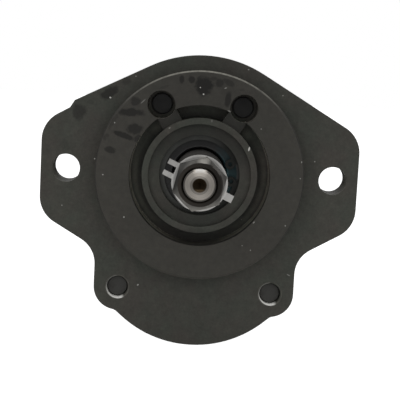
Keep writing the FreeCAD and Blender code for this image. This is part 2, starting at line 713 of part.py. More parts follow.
def section_body(start, end, ports):
    """Pump casting with its figure-eight gear chamber, two side ports and seal grooves."""
    middle = (start + end) / 2
    blank = chamfered_prism(body_corners(), start, end)
    blank = blank.fuse([port_pad(side, radius, middle) for side, radius, _ in ports])
    cuts = [figure_eight(CHAMBER_RADIUS, start, end)]
    for side, radius, passage in ports:
        cuts += port_cuts(side, radius, passage, middle)
    cuts += bolt_holes(start, end)
    cuts += dowel_holes(start, 1)
    cuts += dowel_holes(end, -1)
    cuts += [joint_ring(start, 1, 0), joint_ring(end, -1, 0)]
    return blank.cut(cuts).removeSplitter()


def front_body():
    ports = [(1, FRONT_INLET_RADIUS, FRONT_INLET_PASSAGE),
             (-1, FRONT_OUTLET_RADIUS, FRONT_OUTLET_PASSAGE)]
    return section_body(FRONT_BODY_START, PLATE_START, ports)


def rear_body():
    ports = [(1, REAR_INLET_RADIUS, REAR_INLET_PASSAGE),
             (-1, REAR_OUTLET_RADIUS, REAR_OUTLET_PASSAGE)]
    return section_body(REAR_BODY_START, COVER_START, ports)


def centre_plate():
    """Plate between the sections, bored for the coupling."""
    plate = chamfered_prism(body_corners(), PLATE_START, REAR_BODY_START)
    cuts = [rod(PLATE_BORE_RADIUS, PLATE_START, REAR_BODY_START)]
    cuts += bolt_holes(PLATE_START, REAR_BODY_START)
    cuts += dowel_holes(PLATE_START, 1)
    cuts += dowel_holes(REAR_BODY_START, -1)
    return plate.cut(cuts)


def rear_cover():
    """End cover with a rounded rear edge and spot faces for the bolt washers."""
    cover = prism(body_corners(), COVER_START, COVER_END)
    rim = [edge for edge in cover.Edges
           if abs(edge.BoundBox.YMin - COVER_END) < FIT_GAP and edge.BoundBox.YLength < FIT_GAP]
    cover = cover.makeFillet(COVER_EDGE_FILLET, rim)
    seats = [rod(BOLT_WASHER_RADIUS + BOLT_SEAT_RIM, BOLT_SEAT, COVER_END, x, z)
             for x, z in BOLT_POINTS]
    return cover.cut(seats + bolt_holes(COVER_START, COVER_END) + dowel_holes(COVER_START, 1))


# Bearing blocks and seals

def bearing_block(start, gear_side):
    """Figure-eight block that carries two journals; gear_side is +1 when the gears lie behind it."""
    end = start + BLOCK_LENGTH
    block = figure_eight(CHAMBER_RADIUS - BLOCK_GAP, start, end)
    gear_face = end if gear_side > 0 else start
    outer_face = start if gear_side > 0 else end
    cuts = [rod(LINER_RADIUS + FIT_GAP, start, end, 0, z) for z in (0, -CENTRE_DISTANCE)]
    for side in (-1, 1):
        low = min(gear_face, gear_face - gear_side * RELIEF_DEPTH)
        corner_x = RELIEF_WIDTH / 2 * (side - 1) + side * RELIEF_WIDTH / 2
        cuts.append(Part.makeBox(RELIEF_WIDTH, RELIEF_DEPTH, RELIEF_HEIGHT, FreeCAD.Vector(
            corner_x, low, -CENTRE_DISTANCE / 2 - RELIEF_HEIGHT / 2)))
    cuts.append(block_ring(outer_face, gear_side, 0, BLOCK_SEAL_DEPTH, 0))
    return block.cut(cuts).removeSplitter()


def block_ring(face, inward, first, last, gap):
    """Figure-eight ring let into a block's outer face, between two depths."""
    start = min(face + inward * first, face + inward * last)
    end = start + abs(last - first)
    outer = CHAMBER_RADIUS - BLOCK_GAP - BLOCK_SEAL_INSET - gap
    inner = outer - BLOCK_SEAL_WIDTH + 2 * gap
    return figure_eight(outer, start, end).cut(figure_eight(inner, start, end))


def joint_ring(face, inward, gap):
    """Racetrack ring round the gear chamber, let into a joint face."""
    start = min(face, face + inward * (JOINT_SEAL_DEPTH - gap))
    end = start + JOINT_SEAL_DEPTH - gap
    outer = racetrack(JOINT_SEAL_RADIUS + JOINT_SEAL_WIDTH - gap, start, end)
    return outer.cut(racetrack(JOINT_SEAL_RADIUS + gap, start, end))


def block_starts(body_start, body_end):
    """The front and rear bearing block of a section, as start height and gear side."""
    return [(body_start, 1), (body_end - BLOCK_LENGTH, -1)]


def journal_liners(body_start, body_end):
    """Four plain bearing liners of one section."""
    liners = []
    for start, _ in block_starts(body_start, body_end):
        for z in (0, -CENTRE_DISTANCE):
            liners.append(tube(LINER_RADIUS, JOURNAL_RADIUS + JOURNAL_GAP, start + LINER_INSET,
                               start + BLOCK_LENGTH - LINER_INSET, 0, z))
    return Part.makeCompound(liners)


def block_seals(body_start, body_end):
    """Rubber pressure seals of one section's bearing blocks."""
    rings = []
    for face, inward in ((body_start, 1), (body_end, -1)):
        depth = BLOCK_SEAL_DEPTH - BACKUP_THICKNESS
        rings.append(block_ring(face, inward, 0, depth, FIT_GAP))
    return Part.makeCompound(rings)


def block_backups(body_start, body_end):
    """Stiff backup rings that lie under the pressure seals."""
    rings = []
    for face, inward in ((body_start, 1), (body_end, -1)):
        depth = BLOCK_SEAL_DEPTH - BACKUP_THICKNESS
        rings.append(block_ring(face, inward, depth, BLOCK_SEAL_DEPTH, FIT_GAP))
    return Part.makeCompound(rings)


# Bolts, washers and dowels

def through_bolt(x, z, tip):
    """Hexagon bolt from behind the rear cover down to its tip in the flange."""
    seat = BOLT_SEAT + BOLT_WASHER_THICKNESS
    head = hexagon(BOLT_HEAD_FLATS, -seat - BOLT_HEAD_HEIGHT, -seat, x, z)
    head = head.mirror(ORIGIN, AXIS_Y)
    core = THREAD_CORE_RADIUS - FIT_GAP
    point = cone(core - BOLT_POINT_BEVEL, core, tip, tip + BOLT_POINT_BEVEL, x, z)
    thread = rod(core, tip + BOLT_POINT_BEVEL, FLANGE_DEPTH, x, z)
    shank = rod(BOLT_RADIUS, FLANGE_DEPTH, seat, x, z)
    return point.fuse([thread, shank, head]).removeSplitter()


def upper_bolts():
    tip = UPPER_HOLE_FLOOR - UPPER_BOLT_PROUD
    return Part.makeCompound([through_bolt(x, UPPER_BOLT_Z, tip)
                              for x in (UPPER_BOLT_X, -UPPER_BOLT_X)])


def lower_bolts():
    return Part.makeCompound([through_bolt(x, LOWER_BOLT_Z, LOWER_BOLT_SUNK)
                              for x in (LOWER_BOLT_X, -LOWER_BOLT_X)])


def bolt_washers():
    return Part.makeCompound([tube(BOLT_WASHER_RADIUS, BOLT_RADIUS + FIT_GAP, BOLT_SEAT,
                                   BOLT_SEAT + BOLT_WASHER_THICKNESS, x, z)
                              for x, z in BOLT_POINTS])


def dowel_pins():
    """Two dowels across each joint face between the castings."""
    pins = []
    for face in (FRONT_BODY_START, PLATE_START, REAR_BODY_START, COVER_START):
        for x, z in DOWEL_POINTS:
            pins.append(rod(DOWEL_RADIUS, face - DOWEL_LENGTH / 2, face + DOWEL_LENGTH / 2, x, z))
    return Part.makeCompound(pins)


def pump():
    """Every piece of the pump by its node name."""
    front = (FRONT_BODY_START, PLATE_START)
    rear = (REAR_BODY_START, COVER_START)
    nodes = {
        "mounting_flange": mounting_flange(),
        "front_body": front_body(),
        "centre_plate": centre_plate(),
        "rear_body": rear_body(),
        "rear_cover": rear_cover(),
        "drive_shaft": drive_shaft(),
        "woodruff_key": key_disc(0),
        "tab_washer": tab_washer(),
        "shaft_nut": shaft_nut(),
        "shaft_coupling": shaft_coupling(),
        "rear_drive_gear": rear_drive_gear(),
        "front_driven_gear": driven_gear(*front, FRONT_GEAR_WIDTH),
        "rear_driven_gear": driven_gear(*rear, REAR_GEAR_WIDTH),
        "seal_case": seal_case(),
        "seal_lip": seal_lip(),
        "seal_spring": seal_spring(),
        "seal_circlip": seal_circlip(),
        "flange_joint_seal": joint_ring(FRONT_BODY_START, 1, FIT_GAP),
        "plate_front_joint_seal": joint_ring(PLATE_START, -1, FIT_GAP),
        "plate_rear_joint_seal": joint_ring(REAR_BODY_START, 1, FIT_GAP),
        "cover_joint_seal": joint_ring(COVER_START, -1, FIT_GAP),
        "upper_bolts": upper_bolts(),
        "lower_bolts": lower_bolts(),
        "bolt_washers": bolt_washers(),
        "dowel_pins": dowel_pins(),
    }
    for name, section in (("front", front), ("rear", rear)):
        fore, aft = block_starts(*section)
        nodes[name + "_block_fore"] = bearing_block(*fore)
        nodes[name + "_block_aft"] = bearing_block(*aft)
        nodes[name + "_journal_liners"] = journal_liners(*section)
        nodes[name + "_block_seals"] = block_seals(*section)
        nodes[name + "_block_backups"] = block_backups(*section)
    return nodes


os.makedirs("parts", exist_ok=True)
for node_name, node_shape in pump().items():
    node_shape.exportStep(os.path.join("parts", node_name + ".step"))
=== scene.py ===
"""Looks of the tandem gear pump: finishes, port threads, parting lines and the photograph's studio."""

import json
import logging
import math
from dataclasses import dataclass, field
from enum import Enum
from functools import reduce

import bpy
from mathutils import Matrix, Vector


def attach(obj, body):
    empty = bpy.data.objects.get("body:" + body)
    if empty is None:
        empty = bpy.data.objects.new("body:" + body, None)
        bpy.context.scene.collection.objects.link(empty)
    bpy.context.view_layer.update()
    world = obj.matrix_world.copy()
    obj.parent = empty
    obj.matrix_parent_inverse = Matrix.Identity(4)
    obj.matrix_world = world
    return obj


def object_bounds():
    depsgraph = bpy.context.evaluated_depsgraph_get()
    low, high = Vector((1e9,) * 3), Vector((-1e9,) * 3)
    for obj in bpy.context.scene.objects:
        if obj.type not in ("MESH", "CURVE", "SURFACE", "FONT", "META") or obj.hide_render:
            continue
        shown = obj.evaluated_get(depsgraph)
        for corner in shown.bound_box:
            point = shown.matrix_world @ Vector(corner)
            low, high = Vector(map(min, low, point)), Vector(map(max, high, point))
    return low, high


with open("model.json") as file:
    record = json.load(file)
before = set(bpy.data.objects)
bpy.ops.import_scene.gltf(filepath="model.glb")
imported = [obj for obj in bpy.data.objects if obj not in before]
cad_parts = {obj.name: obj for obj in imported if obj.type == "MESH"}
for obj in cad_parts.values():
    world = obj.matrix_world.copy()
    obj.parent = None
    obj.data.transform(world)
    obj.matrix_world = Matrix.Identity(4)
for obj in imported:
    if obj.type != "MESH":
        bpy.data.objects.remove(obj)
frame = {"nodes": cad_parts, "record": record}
CAD_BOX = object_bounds()

MM = 0.001
LOG = logging.getLogger("tandem_pump")
MOUNTS = {mount["name"]: mount for mount in frame["record"]["mounts"]}
PILOT = MOUNTS["pilot"]["dims"]["r_mm"]
EAR_REACH = MOUNTS["ear_holes"]["dims"]["spacing_x_mm"] / 2
WHITE = (1.0, 1.0, 1.0)
# What Blender's noise gives on average.
NOISE_MEAN = 0.5

Socket = bpy.types.NodeSocket
Value = float | Socket
Offset = tuple[Socket, Socket]
# Red, green and blue, linear.
Colour = tuple[float, float, float]
# Where a fade starts and ends, then what it gives at each end, which is 0 and 1 if left out.
Fade = tuple[float, ...]
# Noise as its cells per metre, its octaves and the weight of the finer octaves.
Noise = tuple[float, float, float]
# Bumps as how strongly they show and their height in millimetres.
Relief = tuple[float, float]


class Side(Enum):
    """Side face of a section that a port opens on."""

    INLET = 1
    OUTLET = -1


def feed(tree: bpy.types.NodeTree, socket: Socket, value: object) -> None:
    """Link a socket to another one, or set its value.

    Args:
        tree: Tree that the socket is in.
        socket: The socket.
        value: Socket to link, or a value; colours have three parts.
    """
    if isinstance(value, Socket):
        tree.links.new(value, socket)
    elif socket.type == "RGBA":
        socket.default_value = (*value, 1.0)
    else:
        socket.default_value = value


def add_node(tree: bpy.types.NodeTree, kind: str, inputs: dict, **settings: object) -> bpy.types.Node:
    """Add a node to a tree.

    Args:
        tree: The tree.
        kind: Node type.
        inputs: Input name or number to a value or a socket to link.
        settings: Properties to set on the node first.

    Returns:
        The new node.
    """
    made = tree.nodes.new(kind)
    for key, value in settings.items():
        setattr(made, key, value)
    for key, value in inputs.items():
        feed(tree, made.inputs[key], value)
    return made


@dataclass
class Shader:
    """Builds one node material on object coordinates, with lengths in millimetres.

    Args:
        name: Name of the material.
    """

    name: str
    material: bpy.types.Material = field(init=False)

    def __post_init__(self) -> None:
        """Make the material and split the place on the object into its coordinates."""
        self.material = bpy.data.materials.new(self.name)
        self.material.use_nodes = True
        self.tree = self.material.node_tree
        self.place = self.node("ShaderNodeTexCoord", {}).outputs["Object"]
        self.x, self.depth, self.z = self.node("ShaderNodeSeparateXYZ", {
            0: self.scaled(self.place, 1 / MM)}).outputs
        self.radius = self.distance(0.0, 0.0)

    def node(self, kind: str, inputs: dict, **settings: object) -> bpy.types.Node:
        """Add a node to the material."""
        return add_node(self.tree, kind, inputs, **settings)

    def link(self, name: str, value: object) -> None:
        """Set or link one input of the main shader."""
        feed(self.tree, self.tree.nodes["Principled BSDF"].inputs[name], value)

    def math(self, operation: str, *values: Value) -> Socket:
        """Scalar math of one to three values."""
        return self.node("ShaderNodeMath", dict(enumerate(values)), operation=operation).outputs[0]

    def product(self, *factors: Value) -> Socket:
        """Product of several values."""
        return reduce(lambda first, second: self.math("MULTIPLY", first, second), factors)

    def total(self, *terms: Value) -> Socket:
        """Sum of several values."""
        return reduce(lambda first, second: self.math("ADD", first, second), terms)

    def greatest(self, *parts: Value) -> Socket:
        """Greatest of several values."""
        return reduce(lambda first, second: self.math("MAXIMUM", first, second), parts)

    def noise(self, scale: float, detail: float, rough: float) -> Socket:
        """Noise on the object's own coordinates.

        Args:
            scale: Cells per metre.
            detail: Octaves.
            rough: Weight of the finer octaves.

        Returns:
            The noise, about NOISE_MEAN on average.
        """
        made = self.node("ShaderNodeTexNoise", {
            "Vector": self.place, "Scale": scale, "Detail": detail, "Roughness": rough})
        return made.outputs["Fac"]

    def sway(self, noise: Noise, swing: float, middle: float = 1.0) -> Socket:
        """Noise that swings about a middle value."""
        return self.math("MULTIPLY_ADD", self.noise(*noise), swing, middle - swing * NOISE_MEAN)

    def fade(self, value: Value, low: float, high: float, first: float = 0.0,
             last: float = 1.0) -> Socket:
        """Map a value from one span to another, clamped.

        Args:
            value: The value.
            low: Start of its span.
            high: End of its span.
            first: Result at the start.
            last: Result at the end.

        Returns:
            The result.
        """
        made = self.node("ShaderNodeMapRange", {
            "Value": value, "From Min": low, "From Max": high, "To Min": first, "To Max": last})
        return made.outputs["Result"]

    def between(self, value: Value, low: float, high: float, soft: float) -> Socket:
        """One between two limits, and nothing past a soft stretch outside each."""
        return self.product(self.fade(value, low - soft, low),
                            self.fade(value, high, high + soft, 1.0, 0.0))

    def blend(self, factor: Value, first: Colour | Socket, second: Colour | Socket) -> Socket:
        """Mix two colours by a factor."""
        made = self.node("ShaderNodeMix", {0: factor, 6: first, 7: second}, data_type="RGBA")
        return made.outputs[2]

    def scaled(self, colour: Colour | Socket, factor: Value) -> Socket:
        """Colour or place times a factor."""
        made = self.node("ShaderNodeVectorMath", {0: colour, "Scale": factor}, operation="SCALE")
        return made.outputs[0]

    def bump(self, height: Socket, strength: float, reach: float,
             below: Socket | None = None) -> Socket:
        """Bumps on the surface.

        Args:
            height: Where they are, from 0 to 1.
            strength: How strongly they show.
            reach: Their height.
            below: Normal that they stand on, or None for the surface's own.

        Returns:
            The normal.
        """
        inputs = {"Height": height, "Strength": strength, "Distance": reach * MM}
        if below is not None:
            inputs["Normal"] = below
        return self.node("ShaderNodeBump", inputs).outputs["Normal"]

    def away(self, x: float, z: float) -> Offset:
        """Place across and height next to an axis along the shaft."""
        return self.math("SUBTRACT", self.x, x), self.math("SUBTRACT", self.z, z)

    def hypotenuse(self, first: Socket, second: Socket) -> Socket:
        """Length over two distances at a right angle."""
        return self.math("SQRT", self.math("MULTIPLY_ADD", first, first, self.product(second, second)))

    def distance(self, x: float, z: float) -> Socket:
        """Distance from an axis along the shaft."""
        return self.hypotenuse(*self.away(x, z))

    def along(self, offset: Offset, angle: float, unit: float) -> Socket:
        """Place along a direction in the front plane.

        Args:
            offset: Place across and height.
            angle: Direction in degrees, from X towards Z.
            unit: Length that counts as one.

        Returns:
            The place.
        """
        turn = math.radians(angle)
        up = self.math("MULTIPLY", offset[1], math.sin(turn) / unit)
        return self.math("MULTIPLY_ADD", offset[0], math.cos(turn) / unit, up)

    def lean(self, angle: float, reach: float) -> Socket:
        """Place along a direction, minus one to one across a round face of that radius."""
        return self.along((self.x, self.z), angle, reach)


@dataclass(frozen=True)
class Lean:
    """Fade along a direction across a round face.

    Args:
        angle: Direction in degrees, from X towards Z.
        low: Where it starts, as a part of the face's radius.
        high: Where it ends.
        first: What it gives at its start and before.
        last: What it gives at its end and beyond.
    """

    angle: float
    low: float
    high: float
    first: float = 0.0
    last: float = 1.0

    def over(self, shader: Shader, radius: float) -> Socket:
        """The fade over a face of one radius."""
        return shader.fade(shader.lean(self.angle, radius), self.low, self.high, self.first, self.last)


@dataclass(frozen=True)
class Smear:
    """Oval mark on the front, seen from the shaft end.

    Args:
        x: Place across.
        z: Height.
        length: Half length.
        width: Half width.
        angle: Lean in degrees, from X towards Z.
        strength: How strong it is, up to 1.
    """

    x: float
    z: float
    length: float
    width: float
    angle: float
    strength: float

    def reach(self, shader: Shader) -> Socket:
        """How far from its middle each point is.

        Args:
            shader: Material to build in.

        Returns:
            The distance, one at its edge.
        """
        offset = shader.away(self.x, self.z)
        return shader.hypotenuse(shader.along(offset, self.angle, self.length),
                                 shader.along(offset, self.angle + 90, self.width))


@dataclass(frozen=True)
class Ring:
    """Ring-shaped stretch of a casting's front.

    Args:
        inner: Inner radius.
        outer: Outer radius.
        front: Lowest depth along the shaft.
        back: Highest depth along the shaft.
        x: Place of its axis across.
        z: Height of its axis.
        soft: Width of its soft edges.
    """

    inner: float
    outer: float
    front: float
    back: float
    x: float = 0.0
    z: float = 0.0
    soft: float = 0.08

    def mask(self, shader: Shader) -> Socket:
        """Where the ring is.

        Args:
            shader: Material to build in.

        Returns:
            One inside the ring and nothing outside it.
        """
        return shader.product(
            shader.between(shader.distance(self.x, self.z), self.inner, self.outer, self.soft),
            shader.between(shader.depth, self.front, self.back, self.soft))


@dataclass(frozen=True)
class CastSkin:
    """Satin black-olive paint over cast iron, as on the pump sections.

    Args:
        name: Name of the material.
        bumps: The cast skin.
        bump_relief: How it stands out.
        pores: Finer bumps on top.
        pore_relief: How they stand out.
        edge: Radius of the rounded edges.
        drift: Where the paint turns from olive to brown.
        grain: Fine tones of the paint.
        cloud: Broad tones of the paint.
        gloss: Where the paint is glossy.
        clean_share: Share of the cells of dust that have no speck.
    """

    name: str
    bumps: Noise = (700, 3, 0.6)
    bump_relief: Relief = (0.5, 0.12)
    pores: Noise = (2240, 2, 0.5)
    pore_relief: Relief = (0.3, 0.036)
    edge: float = 0.5
    edge_samples: int = 4
    olive: Colour = (0.050, 0.0535, 0.043)
    brown: Colour = (0.054, 0.050, 0.042)
    drift: Noise = (62, 4, 0.6)
    drift_fade: Fade = (0.38, 0.62)
    grain: Noise = (1100, 2, 0.6)
    cloud: Noise = (170, 4, 0.6)
    tone_swing: float = 0.5
    gloss: Noise = (220, 3, 0.5)
    gloss_rough: Fade = (0.3, 0.7, 0.46, 0.6)
    specular: float = 0.4
    bare: Colour = (0.46, 0.45, 0.42)
    bare_metallic: bool = True
    dust: Colour = (0.75, 0.74, 0.70)
    dust_cells: float = 105.0
    speck: Fade = (0.015, 0.03, 1.0, 0.0)
    clean_share: float = 0.70
    speck_strength: float = 0.85

    def build(self) -> bpy.types.Material:
        """Make the material.

        Returns:
            The material.
        """
        shader = Shader(self.name)
        colour = self.paint(shader)
        bare = self.bare_mask(shader)
        if bare is not None:
            colour = shader.blend(bare, colour, self.bare)
            if self.bare_metallic:
                shader.link("Metallic", bare)
        colour = shader.blend(self.dust_mask(shader), colour, self.dust)
        shader.link("Base Color", colour)
        shader.link("Roughness", shader.fade(shader.noise(*self.gloss), *self.gloss_rough))
        shader.link("Specular IOR Level", self.specular)
        rounded = shader.node("ShaderNodeBevel", {"Radius": self.edge * MM},
                              samples=self.edge_samples).outputs[0]
        skin = shader.bump(shader.noise(*self.bumps), *self.bump_relief, rounded)
        skin = shader.bump(shader.noise(*self.pores), *self.pore_relief, skin)
        shader.link("Normal", skin)
        return shader.material

    def paint(self, shader: Shader) -> Socket:
        """Paint that drifts between olive and brown, with finer tones on top.

        Args:
            shader: Material to build in.

        Returns:
            Its colour.
        """
        drift = shader.fade(shader.noise(*self.drift), *self.drift_fade)
        colour = shader.blend(drift, self.olive, self.brown)
        tone = shader.product(shader.sway(self.grain, self.tone_swing),
                              shader.sway(self.cloud, self.tone_swing))
        return shader.scaled(colour, tone)

    def bare_mask(self, shader: Shader) -> Socket | None:
        """Where the casting is machined bare: nowhere."""
        return None

    def dust_mask(self, shader: Shader) -> Socket:
        """Sparse pale specks of dust.

        Args:
            shader: Material to build in.

        Returns:
            How strong the dust is at each point.
        """
        cells = shader.node("ShaderNodeTexVoronoi", {
            "Vector": shader.place, "Scale": self.dust_cells, "Randomness": 1.0})
        speck = shader.fade(cells.outputs["Distance"], *self.speck)
        chance = shader.node("ShaderNodeSeparateColor", {0: cells.outputs["Color"]}).outputs[0]
        greyed = shader.math("GREATER_THAN", chance, self.clean_share)
        return shader.product(speck, greyed, self.speck_strength)


@dataclass(frozen=True)
class FrontSkin(CastSkin):
    """Finish of the mounting flange: turned and painted front, oil marks, paint rubbed through with a
    painted highlight on the pilot edge, and painted light and shade on its faces and recesses.

    The fields after the ear holes give the painted light and shade on each of these, and its wear.

    Args:
        smears: Oil marks.
        flecks_and_glints: Chips and specks of dust, and painted glints on sharp tips and edges.
        groove: Groove round the hub, with its floor, its wall and the bridges across it.
        hub: Front edge of the hub.
        pocket: Pocket of the shaft seal, with its floor.
        pilot_edge: Chamfer of the pilot.
        upper_holes: Deep holes over the tips of the upper bolts.
        lower_mouths: Chamfers of the two tapped holes.
        ear_holes: Walls of the mounting holes.
    """

    bumps: Noise = (1000, 3, 0.6)
    bump_relief: Relief = (0.5, 0.05)
    pores: Noise = (3200, 2, 0.5)
    pore_relief: Relief = (0.3, 0.015)
    edge: float = 0.3
    # Bare metal of the tapped holes' chamfers, made white as a painted highlight on their lit side.
    bare: Colour = (0.95, 0.94, 0.90)
    bare_metallic: bool = False
    oil: Colour = (0.0095, 0.0086, 0.007)
    # Pale tone of paint rubbed through, also standing in for painted highlights on edges.
    worn_and_lit: Colour = (0.31, 0.30, 0.26)
    smears: tuple[Smear, ...] = tuple(Smear(*row) for row in (
        (-48.6, 22.6, 2.9, 3.4, 0, 0.6), (-37.2, 30.6, 4.2, 2.0, 35, 0.8),
        (-30.5, 35.5, 2.0, 1.5, 20, 0.4), (-44.5, 26.5, 1.4, 1.0, 0, 0.3),
        (-26.5, 28.0, 2.2, 1.8, 0, 0.7), (-28.0, 23.7, 5.2, 1.7, 2, 0.85),
        (-26.2, 17.4, 3.0, 2.5, 0, 0.8), (-30.4, 14.5, 4.4, 1.2, -18, 0.85),
        (-24.9, 13.6, 1.8, 1.2, 60, 0.7), (-35.6, 8.7, 2.3, 1.4, -10, 0.7),
        (-36.8, 14.2, 0.9, 0.8, 0, 0.4), (-8.8, 37.4, 1.2, 1.5, 0, 0.85),
        (-5.0, 37.6, 1.4, 1.7, 30, 0.85), (0.1, 35.4, 3.7, 3.6, 0, 1.0), (6.3, 36.9, 2.0, 1.7, 20, 0.7),
        (9.7, 30.8, 1.3, 3.2, -5, 0.85), (3.4, 38.3, 1.4, 0.8, 0, 0.5), (15.0, 34.6, 1.2, 0.7, 0, 0.3),
        (9.4, 37.2, 2.8, 1.2, -20, 0.55), (17.0, 37.4, 1.2, 0.8, 0, 0.25),
        (-37.9, 13.4, 0.7, 1.6, 20, 0.35), (-15.6, 34.0, 2.2, 0.5, 20, 0.3),
        (-34.6, 20.0, 3.6, 0.9, 62, 0.3), (-52.5, 9.2, 3.8, 2.0, 0, 0.16),
    ))
    # Specks of dust and chips, and painted glints on the groove's tips, the hub ring and the pilot's
    # chamfer.
    flecks_and_glints: tuple[Smear, ...] = tuple(Smear(*row) for row in (
        (19.0, 11.6, 1.0, 0.32, 78, 1.0), (0.0, 32.1, 0.3, 0.3, 0, 0.9), (8.5, 34.9, 0.5, 0.2, 20, 0.35),
        (-36.6, 28.7, 0.4, 0.3, -30, 0.9), (-23.3, 28.2, 1.4, 0.2, 45, 0.22),
        (-19.0, 19.8, 1.2, 0.25, 47, 0.3), (10.6, 25.9, 1.0, 0.25, -22, 0.35),
        (-12.6, 18.2, 0.5, 0.25, 30, 0.3), (22.4, -17.3, 0.5, 0.25, 50, 0.4),
        (3.8, 21.8, 0.3, 0.6, 0, 0.15), (-41.9, 4.2, 0.3, 0.3, 0, 0.7), (-37.9, -1.3, 0.3, 0.25, 0, 0.5),
        (-34.1, 19.3, 0.25, 0.3, 0, 0.4), (-26.9, 37.6, 0.3, 0.25, 0, 0.35),
        (-28.9, -17.7, 0.3, 0.35, 0, 0.6), (-22.5, -45.9, 0.4, 0.3, 40, 0.55),
        (17.3, 42.4, 0.3, 0.25, 0, 0.4), (31.4, 32.9, 0.3, 0.25, 0, 0.35),
        (23.2, 19.7, 0.25, 0.25, 0, 0.35), (39.8, 7.5, 0.25, 0.4, 0, 0.4),
        (39.7, 1.0, 0.25, 0.25, 0, 0.35), (34.9, -18.0, 0.25, 0.3, 0, 0.4),
        (18.3, -26.8, 0.25, 0.25, 0, 0.3), (21.7, -28.5, 0.25, 0.3, 0, 0.35),
        (-54.2, -15.1, 0.25, 0.3, 0, 0.4), (45.6, 7.4, 0.3, 0.25, 0, 0.35),
        (37.9, -38.9, 0.8, 0.2, -25, 0.3),
    ))
    smear_ragged: float = 0.75
    fleck_ragged: float = 0.3
    oval_wander: Noise = (330, 4, 0.65)
    oval_edge: tuple[float, float] = (0.72, 1.12)
    front_faces: Fade = (0.2, 0.6, 1.0, 0.0)
    groove: Ring = Ring(22.8, 27.8, -2.2, 5.0)
    groove_floor: Ring = Ring(22.8, 27.65, 3.5, 5.0)
    groove_wall: Ring = Ring(27.65, 27.9, -2.2, 5.0)
    webs: Ring = Ring(22.8, 27.8, -5.8, -2.3)
    web_feet: tuple = ((-17.1, 16.9), (17.5, 15.9))
    hub: Ring = Ring(20.3, 22.8, -5.3, -4.9)
    pocket: Ring = Ring(0, 20.25, -5.1, 25.0)
    pocket_floor: Ring = Ring(15.9, 20.25, -3.9, -3.2)
    pilot_edge: Ring = Ring(40.75, 41.4, -6.4, -5.55)
    upper_holes: tuple[Ring, ...] = tuple(Ring(0, 5.55, -6.1, 9.0, x, 27.2) for x in (-16.2, 16.2))
    lower_mouths: tuple[Ring, ...] = tuple(Ring(4.0, 4.7, 0.03, 2.6, x, -47.15) for x in (-30.6, 31.1))
    ear_holes: tuple[Ring, ...] = tuple(Ring(5.4, 5.7, 0.1, 13.4, x) for x in (-EAR_REACH, EAR_REACH))
    pad_start: Fade = (27.4, 27.9)
    pilot_soft: float = 0.3
    pad_brown: float = 0.75
    film: Noise = (420, 4, 0.7)
    film_swing: float = 0.7
    darkest: float = 0.1
    # Painted light and shade on the turned faces: a lighter groove, darker webs and pocket, a hub ring
    # lighter except at its foot, a pilot chamfer shaded at its sides and lighter at its foot, and lighter
    # deep upper holes.
    groove_light: Lean = Lean(90, -0.98, -0.7, 0.2, 1.7)
    groove_shade: Fade = (22.9, 25.2, 0.1, 1.15)
    web_tone: float = -0.28
    hub_foot: Lean = Lean(-90, 0.9, 0.97, 0.28, 0.0)
    edge_shoulders: Lean = Lean(90, 0.45, 0.8, -0.5, 0.0)
    edge_foot: Lean = Lean(90, -0.9, -0.5, 0.8, 0.0)
    pocket_tone: float = -0.2
    hole_tone: float = 1.2
    # Painted light over the front: lighter at the sides, towards the foot, at the right and outside the
    # pilot.
    aside: Fade = (0.2, 1.2, 0.98, 1.14)
    low: Lean = Lean(70, -0.8, 0.9, 1.06, 0.9)
    outside_tone: float = 1.08
    right: Lean = Lean(0, 0.9, 1.3, 1.0, 1.07)
    # Painted light and shade in the recesses: the groove's floor darker, but lighter beside the middle and
    # near the webs' feet; its wall lighter except at the very bottom; the pocket's floor darker at the top
    # and lighter at its sides.
    floor_middle: Fade = (24.6, 25.8)
    floor_outer: Fade = (26.4, 27.2, 1.0, 0.1)
    floor_low: Lean = Lean(90, -0.8, -0.5)
    floor_high: Lean = Lean(90, 0.1, 0.4, 1.0, 0.0)
    floor_beside: float = 0.45
    floor_tone: Lean = Lean(90, -0.6, -0.2, 0.44, 0.58)
    web_glow: Fade = (0.8, 3.2, 0.75, 0.0)
    wall_tone: Lean = Lean(90, -0.99, -0.87, 1.0, 2.6)
    pocket_aside: Fade = (0.3, 0.95)
    pocket_high: Lean = Lean(90, -0.1, 0.5, 1.0, 0.2)
    pocket_beside: float = 0.85
    pocket_foot: Lean = Lean(-90, 0.0, 0.5, 0.83, 0.98)
    # Side of the mouths that gets the painted highlight.
    mouth_angle: float = 198.0
    mouth_lit: Fade = (-0.35, -0.05)
    mouth_low: Fade = (-4.0, 2.0, 1.0, 0.25)
    # Wear with painted highlights: on the top of the pilot's chamfer, on the ear holes' walls and along the
    # outline.
    wear_and_highlight_top: Lean = Lean(90, 0.64, 1.0)
    wear_breaks: Noise = (480, 3, 0.7)
    wear_fade: Fade = (0.3, 0.55, 0.35, 1.0)
    ear_wear_and_light: float = 0.36
    rim_start: Fade = (0.02, 0.15)
    rim_end: Fade = (0.5, 0.65, 1.0, 0.0)
    rim_wear_and_glint: float = 0.25

    def paint(self, shader: Shader) -> Socket:
        """Paint with its oil marks, rubbed and lit lines, glints, and painted light and shade on its faces
        and in its recesses.

        Args:
            shader: Material to build in.

        Returns:
            Its colour.
        """
        inside = shader.fade(shader.radius, PILOT, PILOT + self.pilot_soft, 1.0, 0.0)
        pad = shader.product(inside, shader.fade(shader.radius, *self.pad_start), self.pad_brown)
        colour = shader.blend(pad, super().paint(shader), self.brown)
